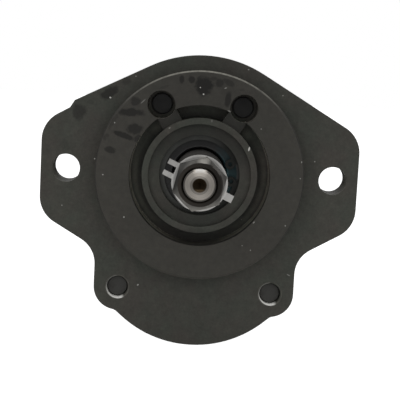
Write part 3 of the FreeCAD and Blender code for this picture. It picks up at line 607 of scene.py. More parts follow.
        # Painted light and shade over the front, its turned faces and its recesses, under a random film of
        # tone.
        shade = self.painted_light_gradient(shader)
        for ring, change in self.changes(shader):
            shade = shader.math("MULTIPLY_ADD", ring.mask(shader), change, shade)
        shade = shader.product(shade, self.recesses(shader), shader.sway(self.film, self.film_swing))
        colour = shader.scaled(colour, shader.greatest(shade, self.darkest))
        colour = shader.blend(self.ovals(shader, self.smears, self.smear_ragged), colour, self.oil)
        colour = shader.blend(self.wear_and_highlight_mask(shader), colour, self.worn_and_lit)
        return shader.blend(self.ovals(shader, self.flecks_and_glints, self.fleck_ragged), colour, self.dust)

    def changes(self, shader: Shader) -> list[tuple[Ring, Value]]:
        """Painted light and shade on each turned face: how much lighter or darker it is than the flat of the
        flange.

        Args:
            shader: Material to build in.

        Returns:
            Each face with its change.
        """
        groove = shader.product(self.groove_light.over(shader, self.groove.outer),
                                shader.fade(shader.radius, *self.groove_shade))
        edge = shader.total(self.edge_shoulders.over(shader, PILOT), self.edge_foot.over(shader, PILOT))
        faces = [(self.groove, groove), (self.webs, self.web_tone),
                 (self.hub, self.hub_foot.over(shader, self.hub.outer)),
                 (self.pilot_edge, edge), (self.pocket, self.pocket_tone)]
        return faces + [(hole, self.hole_tone) for hole in self.upper_holes]

    def painted_light_gradient(self, shader: Shader) -> Socket:
        """Painted light that leaves the sides and the foot slightly lighter than the top and the middle, and
        the right side and the flange outside the pilot a little lighter.

        Args:
            shader: Material to build in.

        Returns:
            Its tone.
        """
        across = shader.math("ABSOLUTE", shader.lean(0, PILOT))
        outside = shader.fade(shader.radius, PILOT, PILOT + self.pilot_soft, 1.0, self.outside_tone)
        return shader.product(shader.fade(across, *self.aside), self.low.over(shader, PILOT), outside,
                              self.right.over(shader, PILOT))

    def recesses(self, shader: Shader) -> Socket:
        """Painted light and shade on the groove's floor and wall and the pocket's floor: how light they are
        next to the rest.

        Args:
            shader: Material to build in.

        Returns:
            Factor on the colour, one outside them.
        """
        size = self.groove.outer
        beside = shader.product(
            shader.fade(shader.radius, *self.floor_middle), shader.fade(shader.radius, *self.floor_outer),
            self.floor_low.over(shader, size), self.floor_high.over(shader, size), self.floor_beside)
        glow = [shader.fade(shader.distance(x, z), *self.web_glow) for x, z in self.web_feet]
        floor = shader.total(beside, self.floor_tone.over(shader, size), *glow)
        size = self.pocket.outer
        aside = shader.fade(shader.math("ABSOLUTE", shader.lean(0, size)), *self.pocket_aside)
        pocket = shader.total(self.pocket_foot.over(shader, size), shader.product(
            aside, self.pocket_high.over(shader, size), self.pocket_beside))
        factor = 1.0
        for ring, tone in ((self.groove_floor, floor), (self.pocket_floor, pocket),
                           (self.groove_wall, self.wall_tone.over(shader, self.groove.outer))):
            change = shader.math("SUBTRACT", tone, 1.0)
            factor = shader.math("MULTIPLY_ADD", ring.mask(shader), change, factor)
        return factor

    def bare_mask(self, shader: Shader) -> Socket:
        """Bare metal, whitened as a painted highlight, from the top round the left to the foot of the two
        tapped holes' mouths.

        Args:
            shader: Material to build in.

        Returns:
            How bare each point is.
        """
        parts = []
        for mouth in self.lower_mouths:
            offset = shader.away(mouth.x, mouth.z)
            turned = shader.fade(shader.along(offset, self.mouth_angle, mouth.inner), *self.mouth_lit)
            parts.append(shader.product(mouth.mask(shader), turned, shader.fade(offset[1], *self.mouth_low)))
        return shader.greatest(*parts)

    def wear_and_highlight_mask(self, shader: Shader) -> Socket:
        """Paint rubbed through, with a painted highlight, along the top of the pilot, in the ear holes and
        along the outline.

        Args:
            shader: Material to build in.

        Returns:
            How worn each point is.
        """
        broken = shader.fade(shader.noise(*self.wear_breaks), *self.wear_fade)
        line = shader.product(self.pilot_edge.mask(shader), self.wear_and_highlight_top.over(shader, PILOT), broken)
        rim = shader.product(shader.fade(shader.depth, *self.rim_start),
                             shader.fade(shader.depth, *self.rim_end), broken, self.rim_wear_and_glint)
        ears = [shader.product(hole.mask(shader), self.ear_wear_and_light) for hole in self.ear_holes]
        return shader.math("MINIMUM", shader.total(line, rim, *ears), 1.0)

    def ovals(self, shader: Shader, marks: tuple[Smear, ...], ragged: float) -> Socket:
        """Oval marks with ragged edges on the two front faces.

        Args:
            shader: Material to build in.
            marks: The ovals.
            ragged: How far their edges wander, as a part of their size.

        Returns:
            How strong the marks are at each point.
        """
        wander = shader.sway(self.oval_wander, 2 * ragged, 0.0)
        parts = [shader.fade(shader.total(mark.reach(shader), wander), *self.oval_edge, mark.strength, 0.0)
                 for mark in marks]
        return shader.product(shader.greatest(*parts), shader.fade(shader.depth, *self.front_faces))


@dataclass(frozen=True)
class PortedSkin(CastSkin):
    """Cast skin of a section with the spot faces and bores of its two ports left bare.

    Args:
        section: First word of the names of the section's ports.
        radii: Spot face radius of each port, by side.
        first_bare: Distance from the middle plane where the bare bore starts.
        last_bare: Distance where it ends.
        soft: Width of its soft edges.
    """

    section: str = ""
    radii: tuple[tuple[Side, float], ...] = ()
    first_bare: float = 26.0
    last_bare: float = 41.75
    soft: float = 0.05

    def bare_mask(self, shader: Shader) -> Socket:
        """Machined metal within a spot face of either port.

        Args:
            shader: Material to build in.

        Returns:
            How bare each point is.
        """
        _, middle, height = (length / MM for length in MOUNTS[self.section + "_inlet"]["pos_m"])
        radius = shader.hypotenuse(shader.math("SUBTRACT", shader.depth, middle),
                                   shader.math("SUBTRACT", shader.z, height))
        parts = []
        for side, reach in self.radii:
            out = shader.product(shader.x, float(side.value))
            inside = shader.fade(radius, reach, reach + self.soft, 1.0, 0.0)
            bored = shader.between(out, self.first_bare, self.last_bare, self.soft)
            parts.append(shader.product(inside, bored))
        return shader.greatest(*parts)


@dataclass(frozen=True)
class TurnedSteel:
    """Bare steel with fine turning marks round the shaft's axis.

    Args:
        name: Name of the material.
        colour: Mean colour.
        rough: Mean roughness.
        metallic: How metallic the surface is.
        marks: Turning marks per millimetre of radius and of depth.
    """

    name: str
    colour: Colour
    rough: float = 0.3
    metallic: float = 1.0
    marks: tuple[float, float] = (5.2, 2.1)
    mark_octaves: float = 2.0
    mark_fade: Fade = (0.3, 0.7)
    mark_relief: Relief = (0.35, 0.02)
    dark_share: float = 0.62
    film: Noise = (350, 4, 0.6)
    film_fade: Fade = (0.58, 0.78, 0.0, 0.45)
    rough_fade: tuple[float, float] = (0.3, 0.75)
    rough_gain: float = 0.18

    def build(self) -> bpy.types.Material:
        """Make the material.

        Returns:
            The material.
        """
        shader = Shader(self.name)
        place = shader.math("MULTIPLY_ADD", shader.radius, self.marks[0],
                            shader.product(shader.depth, self.marks[1]))
        rings = shader.node("ShaderNodeTexNoise", {
            "W": place, "Scale": 1.0, "Detail": self.mark_octaves}, noise_dimensions="1D").outputs["Fac"]
        film = shader.noise(*self.film)
        dark = tuple(part * self.dark_share for part in self.colour)
        colour = shader.blend(shader.fade(rings, *self.mark_fade), dark, self.colour)
        colour = shader.blend(shader.fade(film, *self.film_fade), colour, dark)
        shader.link("Base Color", self.tint(shader, colour))
        shader.link("Metallic", self.metallic)
        rough = shader.fade(film, *self.rough_fade, self.rough, self.rough + self.rough_gain)
        shader.link("Roughness", rough)
        shader.link("Normal", shader.bump(rings, *self.mark_relief))
        return shader.material

    def tint(self, shader: Shader, colour: Socket) -> Socket:
        """Local change of the colour: none."""
        return colour


@dataclass(frozen=True)
class ShaftEndSteel(TurnedSteel):
    """Turned steel of the drive shaft: end face with painted sheen and highlights, painted shadow in the
    centre hole, and oil with painted shade on the taper and shoulder.

    Args:
        face: Radius of the end face.
        hole: Radius of its centre hole.
        oiled_and_shaded_from: Depth behind which the nose is oily and darkened by painted shade.
        shadow: Colour within the hole.
        sheen: Painted sheen: gain towards the top and the foot of the end face, and the tone at its sides.
        rim: Radii over which the top of the face's edge turns bright, as a painted highlight.
        sunk: Painted shade round the hole, by the distance past it.
        edge: Painted shade past the face, by the distance past it.
    """

    face: float = 5.5
    hole: float = 2.6
    oiled_and_shaded_from: float = -29.5
    oiled_and_shaded_soft: float = 0.5
    # Oil and painted shade on the taper and shoulder, darker outwards.
    oiled_and_shaded: Colour = (0.19, 0.18, 0.17)
    oiled_shade: Fade = (9.0, 9.9, 0.6, 0.27)
    # Painted shadow in the centre hole, lighter on its lower wall.
    shadow: Colour = (0.13, 0.10, 0.065)
    shadow_foot: Lean = Lean(-90, 0.66, 0.9, 1.0, 5.0)
    # Painted sheen, highlight streak and rim highlight on the end face, and painted shade round the hole and
    # past the face.
    sheen: tuple[float, float] = (0.4, 0.8)
    streak: Fade = (0.8, 1.0, 0.0, 0.5)
    rim: Fade = (4.4, 5.1)
    rim_top: Fade = (0.84, 0.97)
    rim_gain: float = 0.9
    sunk: Fade = (0.7, 1.1, 0.6, 1.0)
    edge: Fade = (-0.15, 0.05, 1.0, 0.25)
    hole_edge: Fade = (-0.05, 0.05, 1.0, 0.0)

    def tint(self, shader: Shader, colour: Socket) -> Socket:
        """Painted sheen above and below the centre of the end face, painted shadow in the hole, and oil with
        painted shade behind the nut.

        Args:
            shader: Material to build in.
            colour: Colour of the bare steel.

        Returns:
            The changed colour.
        """
        upward = shader.math("DIVIDE", shader.z, shader.greatest(shader.radius, 1.0))
        rim = shader.product(shader.fade(shader.radius, *self.rim), shader.fade(upward, *self.rim_top))
        sheen = shader.math("MULTIPLY_ADD", shader.product(upward, upward), *self.sheen)
        sheen = shader.total(sheen, shader.fade(upward, *self.streak), shader.product(rim, self.rim_gain))
        past_hole = shader.math("SUBTRACT", shader.radius, self.hole)
        past_face = shader.math("SUBTRACT", shader.radius, self.face)
        edge = shader.greatest(shader.fade(past_face, *self.edge), rim)
        colour = shader.scaled(colour, shader.product(sheen, shader.fade(past_hole, *self.sunk), edge))
        shadow = shader.scaled(self.shadow, self.shadow_foot.over(shader, self.hole))
        colour = shader.blend(shader.fade(past_hole, *self.hole_edge), colour, shadow)
        behind = shader.fade(shader.depth, self.oiled_and_shaded_from - self.oiled_and_shaded_soft, self.oiled_and_shaded_from)
        oiled_and_shaded = shader.scaled(self.oiled_and_shaded, shader.fade(shader.radius, *self.oiled_shade))
        return shader.blend(behind, colour, oiled_and_shaded)


@dataclass(frozen=True)
class FilmedSkin:
    """Smooth finish under a thin film, such as stains on plating or bloom on rubber.

    Args:
        name: Name of the material.
        colour: Its colour where it has no stain.
        rough: Roughness of its smoothest parts.
        stain: Colour of the film.
        stained: How strong the film is.
        metallic: How metallic the surface is.
        film: Where the film is.
        film_fade: Values of that noise at which the film starts and is full.
        marks: Fine marks in the surface.
        mark_relief: How they stand out.
    """

    name: str
    colour: Colour
    rough: float
    stain: Colour
    stained: float
    metallic: float
    film: Noise
    film_fade: tuple[float, float]
    marks: Noise
    mark_relief: Relief
    rough_fade: tuple[float, float] = (0.3, 0.7)
    rough_gain: float = 0.15

    def build(self) -> bpy.types.Material:
        """Make the material.

        Returns:
            The material.
        """
        shader = Shader(self.name)
        film = shader.noise(*self.film)
        stains = shader.fade(film, *self.film_fade, 0.0, self.stained)
        rough = shader.fade(film, *self.rough_fade, self.rough, self.rough + self.rough_gain)
        colour, rough = self.tint(shader, shader.blend(stains, self.colour, self.stain), rough)
        shader.link("Base Color", colour)
        shader.link("Metallic", self.metallic)
        shader.link("Roughness", rough)
        shader.link("Normal", shader.bump(shader.noise(*self.marks), *self.mark_relief))
        return shader.material

    def tint(self, shader: Shader, colour: Socket, rough: Socket) -> tuple[Socket, Socket]:
        """Local change of colour and roughness: none."""
        return colour, rough


@dataclass(frozen=True)
class PlatedSteel(FilmedSkin):
    """Bright or dark plated steel with faint stains and marks from being handled."""

    rough: float = 0.22
    stain: Colour = (0.20, 0.18, 0.15)
    stained: float = 0.3
    metallic: float = 1.0
    film: Noise = (240, 4, 0.6)
    film_fade: tuple[float, float] = (0.48, 0.75)
    marks: Noise = (3000, 2, 0.5)
    mark_relief: Relief = (0.2, 0.01)


@dataclass(frozen=True)
class NutSteel(PlatedSteel):
    """Nut with an oily, smooth front face under painted shade, inside its grey chamfer with painted
    highlights and shade.

    Args:
        face: Radius of the front face.
        face_right: How much farther it reaches at the right.
        smoother: Change of roughness on the face.
        top: Painted highlight on the top of the chamfer, by how steeply it lies above the axis.
        oiled_and_shaded: Colour of the face, oil darkened by painted shade.
        cone: Radius of the countersink.
    """

    face: float = 8.1
    face_edge: Fade = (-0.1, 0.1, 1.0, 0.0)
    face_right: Lean = Lean(18, 0.45, 0.85, 0.0, 0.5)
    smoother: float = -0.7
    # Painted highlights at the top and the foot of the chamfer, painted shade at its left and upper right.
    top_angle: float = 83.0
    top: Fade = (0.95, 0.995, 0.0, 1.9)
    left: Lean = Lean(160, 0.7, 1.0, 0.0, -0.8)
    right: Lean = Lean(45, 0.8, 1.05, 0.0, -0.5)
    foot_left: Lean = Lean(-125, 0.8, 1.05, 1.0, 1.7)
    foot_right: Lean = Lean(-75, 0.85, 1.1, 0.0, 1.1)
    darkest: float = 0.25
    # Oily face, with painted shade across it and in its countersink.
    oiled_and_shaded: Colour = (0.05, 0.043, 0.036)
    painted_shade_across: Lean = Lean(15, -0.9, 0.9, 1.15, 0.5)
    cone: float = 6.5
    cone_edge: Fade = (6.35, 6.6, 1.0, 0.0)
    cone_left: Lean = Lean(165, 0.3, 0.8)
    cone_shade: float = -0.75

    def tint(self, shader: Shader, colour: Socket, rough: Socket) -> tuple[Socket, Socket]:
        """Dark brown and smooth within the face; its chamfer has painted highlights at the top and the foot
        and painted shade at the left.

        Args:
            shader: Material to build in.
            colour: Colour of the plating.
            rough: Its roughness.

        Returns:
            The changed colour and roughness.
        """
        upward = shader.math("DIVIDE", shader.lean(self.top_angle, 1.0), shader.radius)
        sides = [side.over(shader, self.face)
                 for side in (self.left, self.right, self.foot_left, self.foot_right)]
        tone = shader.total(shader.fade(upward, *self.top), *sides)
        colour = shader.scaled(colour, shader.greatest(tone, self.darkest))
        reach = shader.math("SUBTRACT", shader.radius, self.face_right.over(shader, self.face))
        inside = shader.fade(shader.math("SUBTRACT", reach, self.face), *self.face_edge)
        oiled_and_shaded = shader.scaled(self.oiled_and_shaded, self.oil_and_shade_tone(shader))
        smooth = shader.math("MULTIPLY_ADD", inside, self.smoother, 1.0)
        return shader.blend(inside, colour, oiled_and_shaded), shader.product(rough, smooth)

    def oil_and_shade_tone(self, shader: Shader) -> Socket:
        """Painted shade on the oily face: lighter at its left, and darkest in the countersink there.

        Args:
            shader: Material to build in.

        Returns:
            Its tone.
        """
        cone = shader.product(shader.fade(shader.radius, *self.cone_edge),
                              self.cone_left.over(shader, self.cone))
        return shader.product(self.painted_shade_across.over(shader, self.face),
                              shader.math("MULTIPLY_ADD", cone, self.cone_shade, 1.0))


@dataclass(frozen=True)
class WasherZinc(PlatedSteel):
    """Zinc of the tab washer, with a painted highlight along its rim and painted shade towards the top.

    Args:
        reach: Radius of the washer.
        rim: Painted highlight towards the rim, by the distance past it.
        tabs: Change of the painted highlight on the tabs, by the same distance.
        top: Painted shade towards the top.
        turned: Stretch of the rim at its lower left that has a painted highlight.
        under: Change of the painted highlight along it, by the distance past the rim.
    """

    reach: float = 10.5
    # Painted highlight along the rim and at its lower left, painted shade towards the top.
    rim: Fade = (-0.9, -0.3, 0.95, 1.6)
    tabs: Fade = (0.0, 0.4, 0.0, -0.35)
    top: Lean = Lean(90, 0.1, 0.9, 1.0, 0.72)
    turned: Lean = Lean(216, 0.87, 0.96)
    under: Fade = (-0.5, -0.3, 1.3, -1.2)

    def tint(self, shader: Shader, colour: Socket, rough: Socket) -> tuple[Socket, Socket]:
        """Painted highlight towards the rim, strongest below and at its lower left, with painted shade
        towards the top.

        Args:
            shader: Material to build in.
            colour: Colour of the plating.
            rough: Its roughness.

        Returns:
            The changed colour and the same roughness.
        """
        past = shader.math("SUBTRACT", shader.radius, self.reach)
        under = shader.product(self.turned.over(shader, self.reach), shader.fade(past, *self.under))
        tone = shader.total(shader.fade(past, *self.rim), under, shader.fade(past, *self.tabs))
        return shader.scaled(colour, shader.product(self.top.over(shader, self.reach), tone)), rough


@dataclass(frozen=True)
class CirclipSteel(PlatedSteel):
    """Dark spring steel, lighter except at the right and below."""

    reach: float = 15.9
    # Lighter towards the upper left.
    greyed: Lean = Lean(150, -0.3, 0.4, 1.0, 2.4)

    def tint(self, shader: Shader, colour: Socket, rough: Socket) -> tuple[Socket, Socket]:
        """Lighter towards the upper left."""
        return shader.scaled(colour, self.greyed.over(shader, self.reach)), rough


@dataclass(frozen=True)
class MouldedRubber(FilmedSkin):
    """Matt rubber or plastic with a faint bloom."""

    rough: float = 0.5
    stain: Colour = (0.03, 0.03, 0.03)
    stained: float = 0.6
    metallic: float = 0.0
    film: Noise = (300, 3, 0.6)
    film_fade: tuple[float, float] = (0.4, 0.7)
    marks: Noise = (2500, 2, 0.5)
    mark_relief: Relief = (0.2, 0.02)


@dataclass(frozen=True)
class SealRubber(MouldedRubber):
    """Teal rubber of the shaft seal, grey except at its right, with painted light in its throat.

    Args:
        greyed: Colour of the grey stretch.
        reach: Outer radius of the lip.
        teal_side: Where the rubber shows its teal.
        throat: Painted light by radius, from the throat outwards.
        left: Tone at the left edge.
    """

    greyed: Colour = (0.0165, 0.0165, 0.0165)
    reach: float = 15.0
    teal_side: Lean = Lean(-12, 0.2, 0.8)
    # Painted light in the throat.
    throat: Fade = (11.2, 11.8, 3.0, 1.2)
    left: Lean = Lean(195, 0.72, 0.9, 1.0, 2.0)

    def tint(self, shader: Shader, colour: Socket, rough: Socket) -> tuple[Socket, Socket]:
        """Grey at the top and the left, lighter in the throat as painted light.

        Args:
            shader: Material to build in.
            colour: Colour of the rubber.
            rough: Its roughness.

        Returns:
            The changed colour and the same roughness.
        """
        colour = shader.blend(self.teal_side.over(shader, self.reach), self.greyed, colour)
        throat = shader.fade(shader.radius, *self.throat)
        return shader.scaled(colour, shader.product(throat, self.left.over(shader, self.reach))), rough


@dataclass
class Palette:
    """Every finish of the pump, made once, by material slot or by the node that it is for."""

    made: dict[str, bpy.types.Material] = field(default_factory=dict)

    def __post_init__(self) -> None:
        """Make the materials."""
        finishes = {
            "black_casting": CastSkin("black_olive_paint"),
            # Flange paint with oil marks and painted light and shade.
            "mounting_flange": FrontSkin("black_olive_paint_oiled"),
            "front_body": PortedSkin("black_olive_paint_front", section="front",
                                     radii=((Side.INLET, 17.6), (Side.OUTLET, 14.5))),
            "rear_body": PortedSkin("black_olive_paint_rear", section="rear",
                                    radii=((Side.INLET, 14.5), (Side.OUTLET, 12.35))),
            "shaft_steel": ShaftEndSteel("turned_shaft_steel", (0.60, 0.555, 0.50), 0.36, metallic=0.7),
            "gear_steel": TurnedSteel("ground_gear_steel", (0.50, 0.50, 0.49), 0.24),
            "zinc_steel": PlatedSteel("bright_zinc", (0.66, 0.65, 0.63), 0.28, metallic=0.7),
            "tab_washer": WasherZinc("tab_washer_zinc", (0.62, 0.61, 0.59), 0.34, metallic=0.25),
            "shaft_nut": NutSteel("oiled_nut_steel", (0.125, 0.12, 0.11), 0.3,
                                  stain=(0.24, 0.23, 0.21), stained=0.8, metallic=0.5),
            # Tips of the upper bolts, lighter than the other bolt steel as painted light deep in their
            # holes.
            "upper_bolts": PlatedSteel("deep_bolt_steel", (0.09, 0.09, 0.09), 0.6,
                                       stain=(0.07, 0.07, 0.07), metallic=0.2),
            "machined_iron": PlatedSteel("machined_iron", (0.40, 0.39, 0.365), 0.34),
            "key_steel": PlatedSteel("plain_key_steel", (0.30, 0.29, 0.28), 0.4),
            "dark_spring_steel": CirclipSteel("phosphated_spring_steel", (0.048, 0.049, 0.046), 0.42,
                                              stain=(0.02, 0.02, 0.02)),
            "seal_rubber": SealRubber("teal_seal_rubber", (0.010, 0.036, 0.041),
                                      stain=(0.014, 0.044, 0.050)),
            "seal_case_steel": PlatedSteel("seal_case_steel", (0.10, 0.10, 0.10), 0.4),
            "joint_rubber": MouldedRubber("black_joint_rubber", (0.012, 0.012, 0.012)),
            "backup_plastic": MouldedRubber("natural_backup_plastic", (0.55, 0.52, 0.43),
                                            stain=(0.62, 0.60, 0.52)),
            "block_aluminium": TurnedSteel("machined_block_alloy", (0.62, 0.62, 0.63), 0.3),
            "liner_bronze": TurnedSteel("bronze_liner", (0.45, 0.28, 0.12), 0.35),
            "bolt_steel": PlatedSteel("black_oxide_steel", (0.063, 0.062, 0.057), 0.45,
                                      stain=(0.035, 0.032, 0.028), stained=0.6, metallic=0.3),
        }
        for slot, finish in finishes.items():
            self.made[slot] = finish.build()

    def dress(self, obj: bpy.types.Object, slot: str) -> None:
        """Put one finish on a whole object.

        Args:
            obj: The object.
            slot: Key of the finish.
        """
        obj.data.materials.clear()
        obj.data.materials.append(self.made[slot])


@dataclass
class Recipe:
    """Builds one Geometry Nodes group and turns what it makes into a plain mesh object.

    Args:
        name: Name of the object.
        values: Value of each named input, by the socket's identifier.
    """

    name: str
    values: dict[str, float] = field(default_factory=dict)

    def __post_init__(self) -> None:
        """Start the group."""
        self.group = bpy.data.node_groups.new(self.name, "GeometryNodeTree")
        self.group.interface.new_socket(name="Geometry", in_out="OUTPUT",
                                        socket_type="NodeSocketGeometry")
        self.entry = self.group.nodes.new("NodeGroupInput")

    def number(self, name: str, value: float) -> Socket:
        """Add a named number to the group and set its value for this object.

        Args:
            name: Name of the input.
            value: Its value.

        Returns:
            The socket that gives it inside the group.
        """
        kind = "NodeSocketInt" if isinstance(value, int) else "NodeSocketFloat"
        socket = self.group.interface.new_socket(name=name, in_out="INPUT", socket_type=kind)
        self.values[socket.identifier] = value
        return next(out for out in self.entry.outputs if out.identifier == socket.identifier)

    def node(self, kind: str, inputs: dict, **settings: object) -> Socket:
        """Add a node to the group; returns its first output."""
        return add_node(self.group, kind, inputs, **settings).outputs[0]

    def tube(self, line: Socket, section: Socket) -> Socket:
        """Carry a closed section along a line, with closed ends."""
        return self.node("GeometryNodeCurveToMesh", {"Curve": line, "Profile Curve": section,
                                                     "Fill Caps": True})

    def cook(self, shape: Socket, material: bpy.types.Material) -> bpy.types.Object:
        """Realize the shape, give it its material and make it a plain mesh.

        Args:
            shape: Geometry that the group makes.
            material: Finish of all its faces.

        Returns:
            The object, with no modifier left.
        """
        real = self.node("GeometryNodeRealizeInstances", {"Geometry": shape})
        dressed = self.node("GeometryNodeSetMaterial", {"Geometry": real, "Material": material})
        exit_node = self.group.nodes.new("NodeGroupOutput")
        self.group.links.new(dressed, exit_node.inputs[0])
        obj = bpy.data.objects.new(self.name, bpy.data.meshes.new(self.name))
        bpy.context.scene.collection.objects.link(obj)
        modifier = obj.modifiers.new("recipe", "NODES")
        modifier.node_group = self.group
        for identifier, value in self.values.items():
            modifier[identifier] = value
        bpy.context.view_layer.update()
        graph = bpy.context.evaluated_depsgraph_get()
        mesh = bpy.data.meshes.new_from_object(obj.evaluated_get(graph))
        obj.modifiers.clear()
        obj.data = mesh
        LOG.info("%s: %d faces", self.name, len(mesh.polygons))
        return obj


@dataclass(frozen=True)
class PortThread:
    """Thread of one port, as ridges on the wall of its bore.

    Args:
        port: Name of the port's mount, which gives its place and the radius of its bore.
        pitch: Pitch of the thread.
        outer_end: Distance from the middle plane where the thread ends.
        length: Length of the thread.
        ridge: Height of the ridges as a part of the pitch.
        steps: Corners per turn.
        corners: Corners of a ridge's section.
    """

    port: str
    pitch: float
    outer_end: float = 40.6
    length: float = 12.0
    ridge: float = 0.34
    steps: int = 48
    corners: int = 4

    def build(self, material: bpy.types.Material) -> bpy.types.Object:
        """Wind a diamond-shaped ridge along the bore.

        Args:
            material: Finish of the ridge.

        Returns:
            The ridge.
        """
        mount = MOUNTS[self.port]
        side = Side(round(mount["axis"][0]))
        _, middle, height = mount["pos_m"]
        recipe = Recipe(self.port + "_thread")
        radius = recipe.number("Radius", mount["dims"]["r_mm"] * MM)
        pitch = recipe.number("Pitch", self.pitch * MM)
        turns = recipe.number("Turns", self.length / self.pitch)
        proud = recipe.number("Proud", self.ridge * self.pitch * MM)
        steps = recipe.number("Steps per turn", self.steps)
        rise = recipe.node("ShaderNodeMath", {0: pitch, 1: turns}, operation="MULTIPLY")
        helix = recipe.node("GeometryNodeCurveSpiral", {
            "Resolution": steps, "Rotations": turns, "Start Radius": radius, "End Radius": radius,
            "Height": rise})
        upright = recipe.node("GeometryNodeSetCurveNormal", {"Curve": helix}, mode="Z_UP")
        diamond = recipe.node("GeometryNodeCurvePrimitiveCircle", {
            "Resolution": self.corners, "Radius": proud})
        start = side.value * (self.outer_end - self.length) * MM
        placed = recipe.node("GeometryNodeTransform", {
            "Geometry": recipe.tube(upright, diamond), "Translation": (start, middle, height),
            "Rotation": (0.0, side.value * math.pi / 2, 0.0)})
        return recipe.cook(placed, material)


@dataclass(frozen=True)
class CastSeam:
    """Low, slightly wavy parting line along the crown of a casting.

    Args:
        name: Name of the piece.
        start: Where it starts along the shaft.
        end: Where it ends.
        seed: Seed of its waves.
        crown: Height of the casting's crown.
        width: Half its width.
        sway: How far it sways.
        steps: Points along it.
        waves: Its waves per metre.
        octaves: Octaves of the waves.
        corners: Corners of its section.
    """

    name: str
    start: float
    end: float
    seed: float
    crown: float = 44.0
    width: float = 0.45
    sway: float = 0.35
    steps: int = 60
    waves: float = 90.0
    octaves: float = 2.0
    corners: int = 8

    def build(self, material: bpy.types.Material) -> bpy.types.Object:
        """Lay a thin rounded ridge along the crown.

        Args:
            material: Finish of the ridge.

        Returns:
            The ridge.
        """
        recipe = Recipe(self.name)
        width = recipe.number("Half width", self.width * MM)
        sway = recipe.number("Sway", self.sway * MM)
        steps = recipe.number("Steps", self.steps)
        seed = recipe.number("Seed", self.seed)
        line = recipe.node("GeometryNodeCurvePrimitiveLine", {
            "Start": (0.0, self.start * MM, self.crown * MM), "End": (0.0, self.end * MM, self.crown * MM)})
        fine = recipe.node("GeometryNodeResampleCurve", {"Curve": line, "Count": steps})
        noise = recipe.node("ShaderNodeTexNoise", {
            "W": seed, "Scale": self.waves, "Detail": self.octaves}, noise_dimensions="4D")
        centred = recipe.node("ShaderNodeMath", {0: noise, 1: NOISE_MEAN}, operation="SUBTRACT")
        across = recipe.node("ShaderNodeMath", {0: centred, 1: sway}, operation="MULTIPLY")
        shift = recipe.node("ShaderNodeCombineXYZ", {"X": across})
        wavy = recipe.node("GeometryNodeSetPosition", {"Geometry": fine, "Offset": shift})
        section = recipe.node("GeometryNodeCurvePrimitiveCircle", {
            "Resolution": self.corners, "Radius": width})
        return recipe.cook(recipe.tube(wavy, section), material)


@dataclass
class SectionDetail:
    """Details of the section castings: port threads and parting lines.

    Args:
        palette: The finishes.
        threads: The port threads.
        seams: The parting lines.
    """

    palette: Palette
    threads: tuple[PortThread, ...] = (
        PortThread("front_inlet", 2.117), PortThread("front_outlet", 2.117),
        PortThread("rear_inlet", 2.117), PortThread("rear_outlet", 1.814),
    )
    seams: tuple[CastSeam, ...] = (
        CastSeam("front_body_seam", 23.0, 89.5, seed=3.7),
        CastSeam("rear_body_seam", 110.7, 167.6, seed=8.1),
    )

    def build(self) -> None:
        """Make every detail and let it ride with the housing."""
        for thread in self.threads:
            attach(thread.build(self.palette.made["machined_iron"]), "housing")
        for seam in self.seams:
            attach(seam.build(self.palette.made["black_casting"]), "housing")


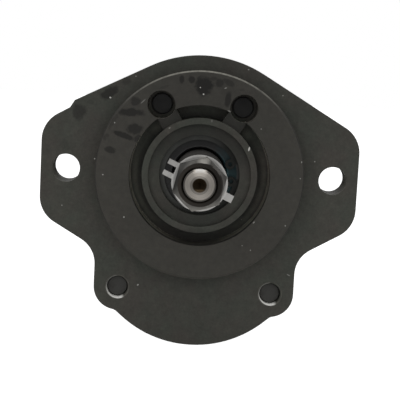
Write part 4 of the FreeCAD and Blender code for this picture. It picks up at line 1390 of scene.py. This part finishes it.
@dataclass
class Studio:
    """Floor, lights, surroundings and the camera of the photograph.

    Args:
        camera_place: Where the camera stands, in millimetres.
        yaw: Its turn round the upright, in degrees.
        pitch: Its tip, in degrees.
        roll: Its lean, in degrees.
        focal_pixels: Its focal length in pixels of the photograph.
        frame_pixels: Width of the photograph.
        sensor: Width of the sensor in millimetres.
        near_clip: Nearest distance that it sees, in metres.
        floor_grey: Colour of the floor.
        floor_rough: Roughness of the floor.
        floor_glow: How bright the camera sees the floor.
        floor_spill: How bright the floor is to the pump.
        floor_reach: Half width, front and back edge of the floor, in metres.
        room_turn: Share of the way to the front where the room turns dark.
        dark_side: Brightness of the room behind the camera.
        bright_side: Brightness of the rest.
        softboxes: Name and place of each light in metres, and its power in watts.
        softbox_size: Side of each light in metres.
    """

    camera_place: tuple = (-3.54, -454.86, 47.49)
    yaw: float = -0.545
    pitch: float = 7.232
    roll: float = 2.926
    focal_pixels: float = 1148.1
    frame_pixels: float = 400.0
    sensor: float = 36.0
    near_clip: float = 0.01
    floor_grey: Colour = (0.5, 0.5, 0.5)
    floor_rough: float = 0.95
    floor_glow: float = 1.05
    floor_spill: float = 0.15
    floor_reach: tuple = (1.6, 0.3, 2.5)
    room_turn: tuple[float, float] = (-0.99, -0.85)
    dark_side: float = 0.3
    bright_side: float = 0.54
    softboxes: tuple = (
        ("upper_left_softbox", (-0.75, -0.65, 0.75), 1.3),
        ("upper_right_softbox", (0.85, -0.60, 0.60), 1.2),
    )
    softbox_size: float = 0.5

    def camera(self) -> None:
        """Stand the camera where the photograph was taken from."""
        yaw, pitch, roll = (math.radians(turn) for turn in (self.yaw, self.pitch, self.roll))
        swap = Matrix(((1, 0, 0), (0, 0, -1), (0, 1, 0)))
        rows = (Matrix.Rotation(roll, 3, "Z") @ swap @ Matrix.Rotation(pitch, 3, "X")
                @ Matrix.Rotation(-yaw, 3, "Z"))
        right, down, ahead = (Vector(row) for row in rows)
        data = bpy.data.cameras.new("photo_camera")
        data.sensor_width = self.sensor
        data.lens = self.focal_pixels / self.frame_pixels * self.sensor
        data.clip_start = self.near_clip
        obj = bpy.data.objects.new("photo_camera", data)
        bpy.context.scene.collection.objects.link(obj)
        pose = Matrix((right, -down, -ahead)).transposed().to_4x4()
        obj.matrix_world = Matrix.Translation(Vector(self.camera_place) * MM) @ pose
        bpy.context.scene.camera = obj

    def floor(self) -> None:
        """Lay a pale floor under the pump that ends short of where its bright metal would mirror it."""
        level = CAD_BOX[0][2]
        side, front, back = self.floor_reach
        mesh = bpy.data.meshes.new("studio_floor")
        corners = [(-side, -front, level), (side, -front, level), (side, back, level),
                   (-side, back, level)]
        mesh.from_pydata(corners, [], [(0, 1, 2, 3)])
        obj = bpy.data.objects.new("studio_floor", mesh)
        bpy.context.scene.collection.objects.link(obj)
        shader = Shader("pale_floor")
        shader.link("Base Color", self.floor_grey)
        shader.link("Roughness", self.floor_rough)
        shader.link("Specular IOR Level", 0.0)
        shader.link("Emission Color", WHITE)
        seen = shader.node("ShaderNodeLightPath", {}).outputs["Is Camera Ray"]
        shader.link("Emission Strength", shader.fade(seen, 0, 1, self.floor_spill, self.floor_glow))
        mesh.materials.append(shader.material)

    def lamp(self, name: str, place: tuple, power: float) -> None:
        """Hang one square area light that faces the pilot.

        Args:
            name: Name of the light.
            place: Its place in metres.
            power: Its power in watts.
        """
        data = bpy.data.lights.new(name, "AREA")
        data.size = self.softbox_size
        data.energy = power
        obj = bpy.data.objects.new(name, data)
        obj.location = place
        obj.rotation_euler = (-Vector(place)).to_track_quat("-Z", "Y").to_euler()
        bpy.context.scene.collection.objects.link(obj)

    def surroundings(self) -> None:
        """White room that is dark behind the camera."""
        world = bpy.data.worlds.new("white_room")
        world.use_nodes = True
        tree = world.node_tree
        place = add_node(tree, "ShaderNodeTexCoord", {}).outputs["Generated"]
        depth = add_node(tree, "ShaderNodeSeparateXYZ", {0: place}).outputs["Y"]
        start, end = self.room_turn
        light = add_node(tree, "ShaderNodeMapRange", {
            "Value": depth, "From Min": start, "From Max": end, "To Min": self.dark_side,
            "To Max": self.bright_side}).outputs["Result"]
        seen = add_node(tree, "ShaderNodeLightPath", {}).outputs["Is Camera Ray"]
        strength = add_node(tree, "ShaderNodeMath", {0: seen, 1: light}, operation="MAXIMUM").outputs[0]
        feed(tree, tree.nodes["Background"].inputs["Strength"], strength)
        feed(tree, tree.nodes["Background"].inputs["Color"], WHITE)
        bpy.context.scene.world = world

    def build(self) -> None:
        """Set up the whole studio."""
        bpy.context.scene.view_settings.view_transform = "Standard"
        self.surroundings()
        self.floor()
        for name, place, power in self.softboxes:
            self.lamp(name, place, power)
        self.camera()
        LOG.info("studio ready")


def main() -> None:
    """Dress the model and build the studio."""
    logging.basicConfig(level=logging.INFO)
    palette = Palette()
    slots = {row["node"]: row["material_slot"] for row in frame["record"]["subparts"]}
    for name, obj in frame["nodes"].items():
        palette.dress(obj, name if name in palette.made else slots[name])
        LOG.info("dressed %s", name)
    SectionDetail(palette).build()
    Studio().build()


if __name__ == "__main__":
    main()
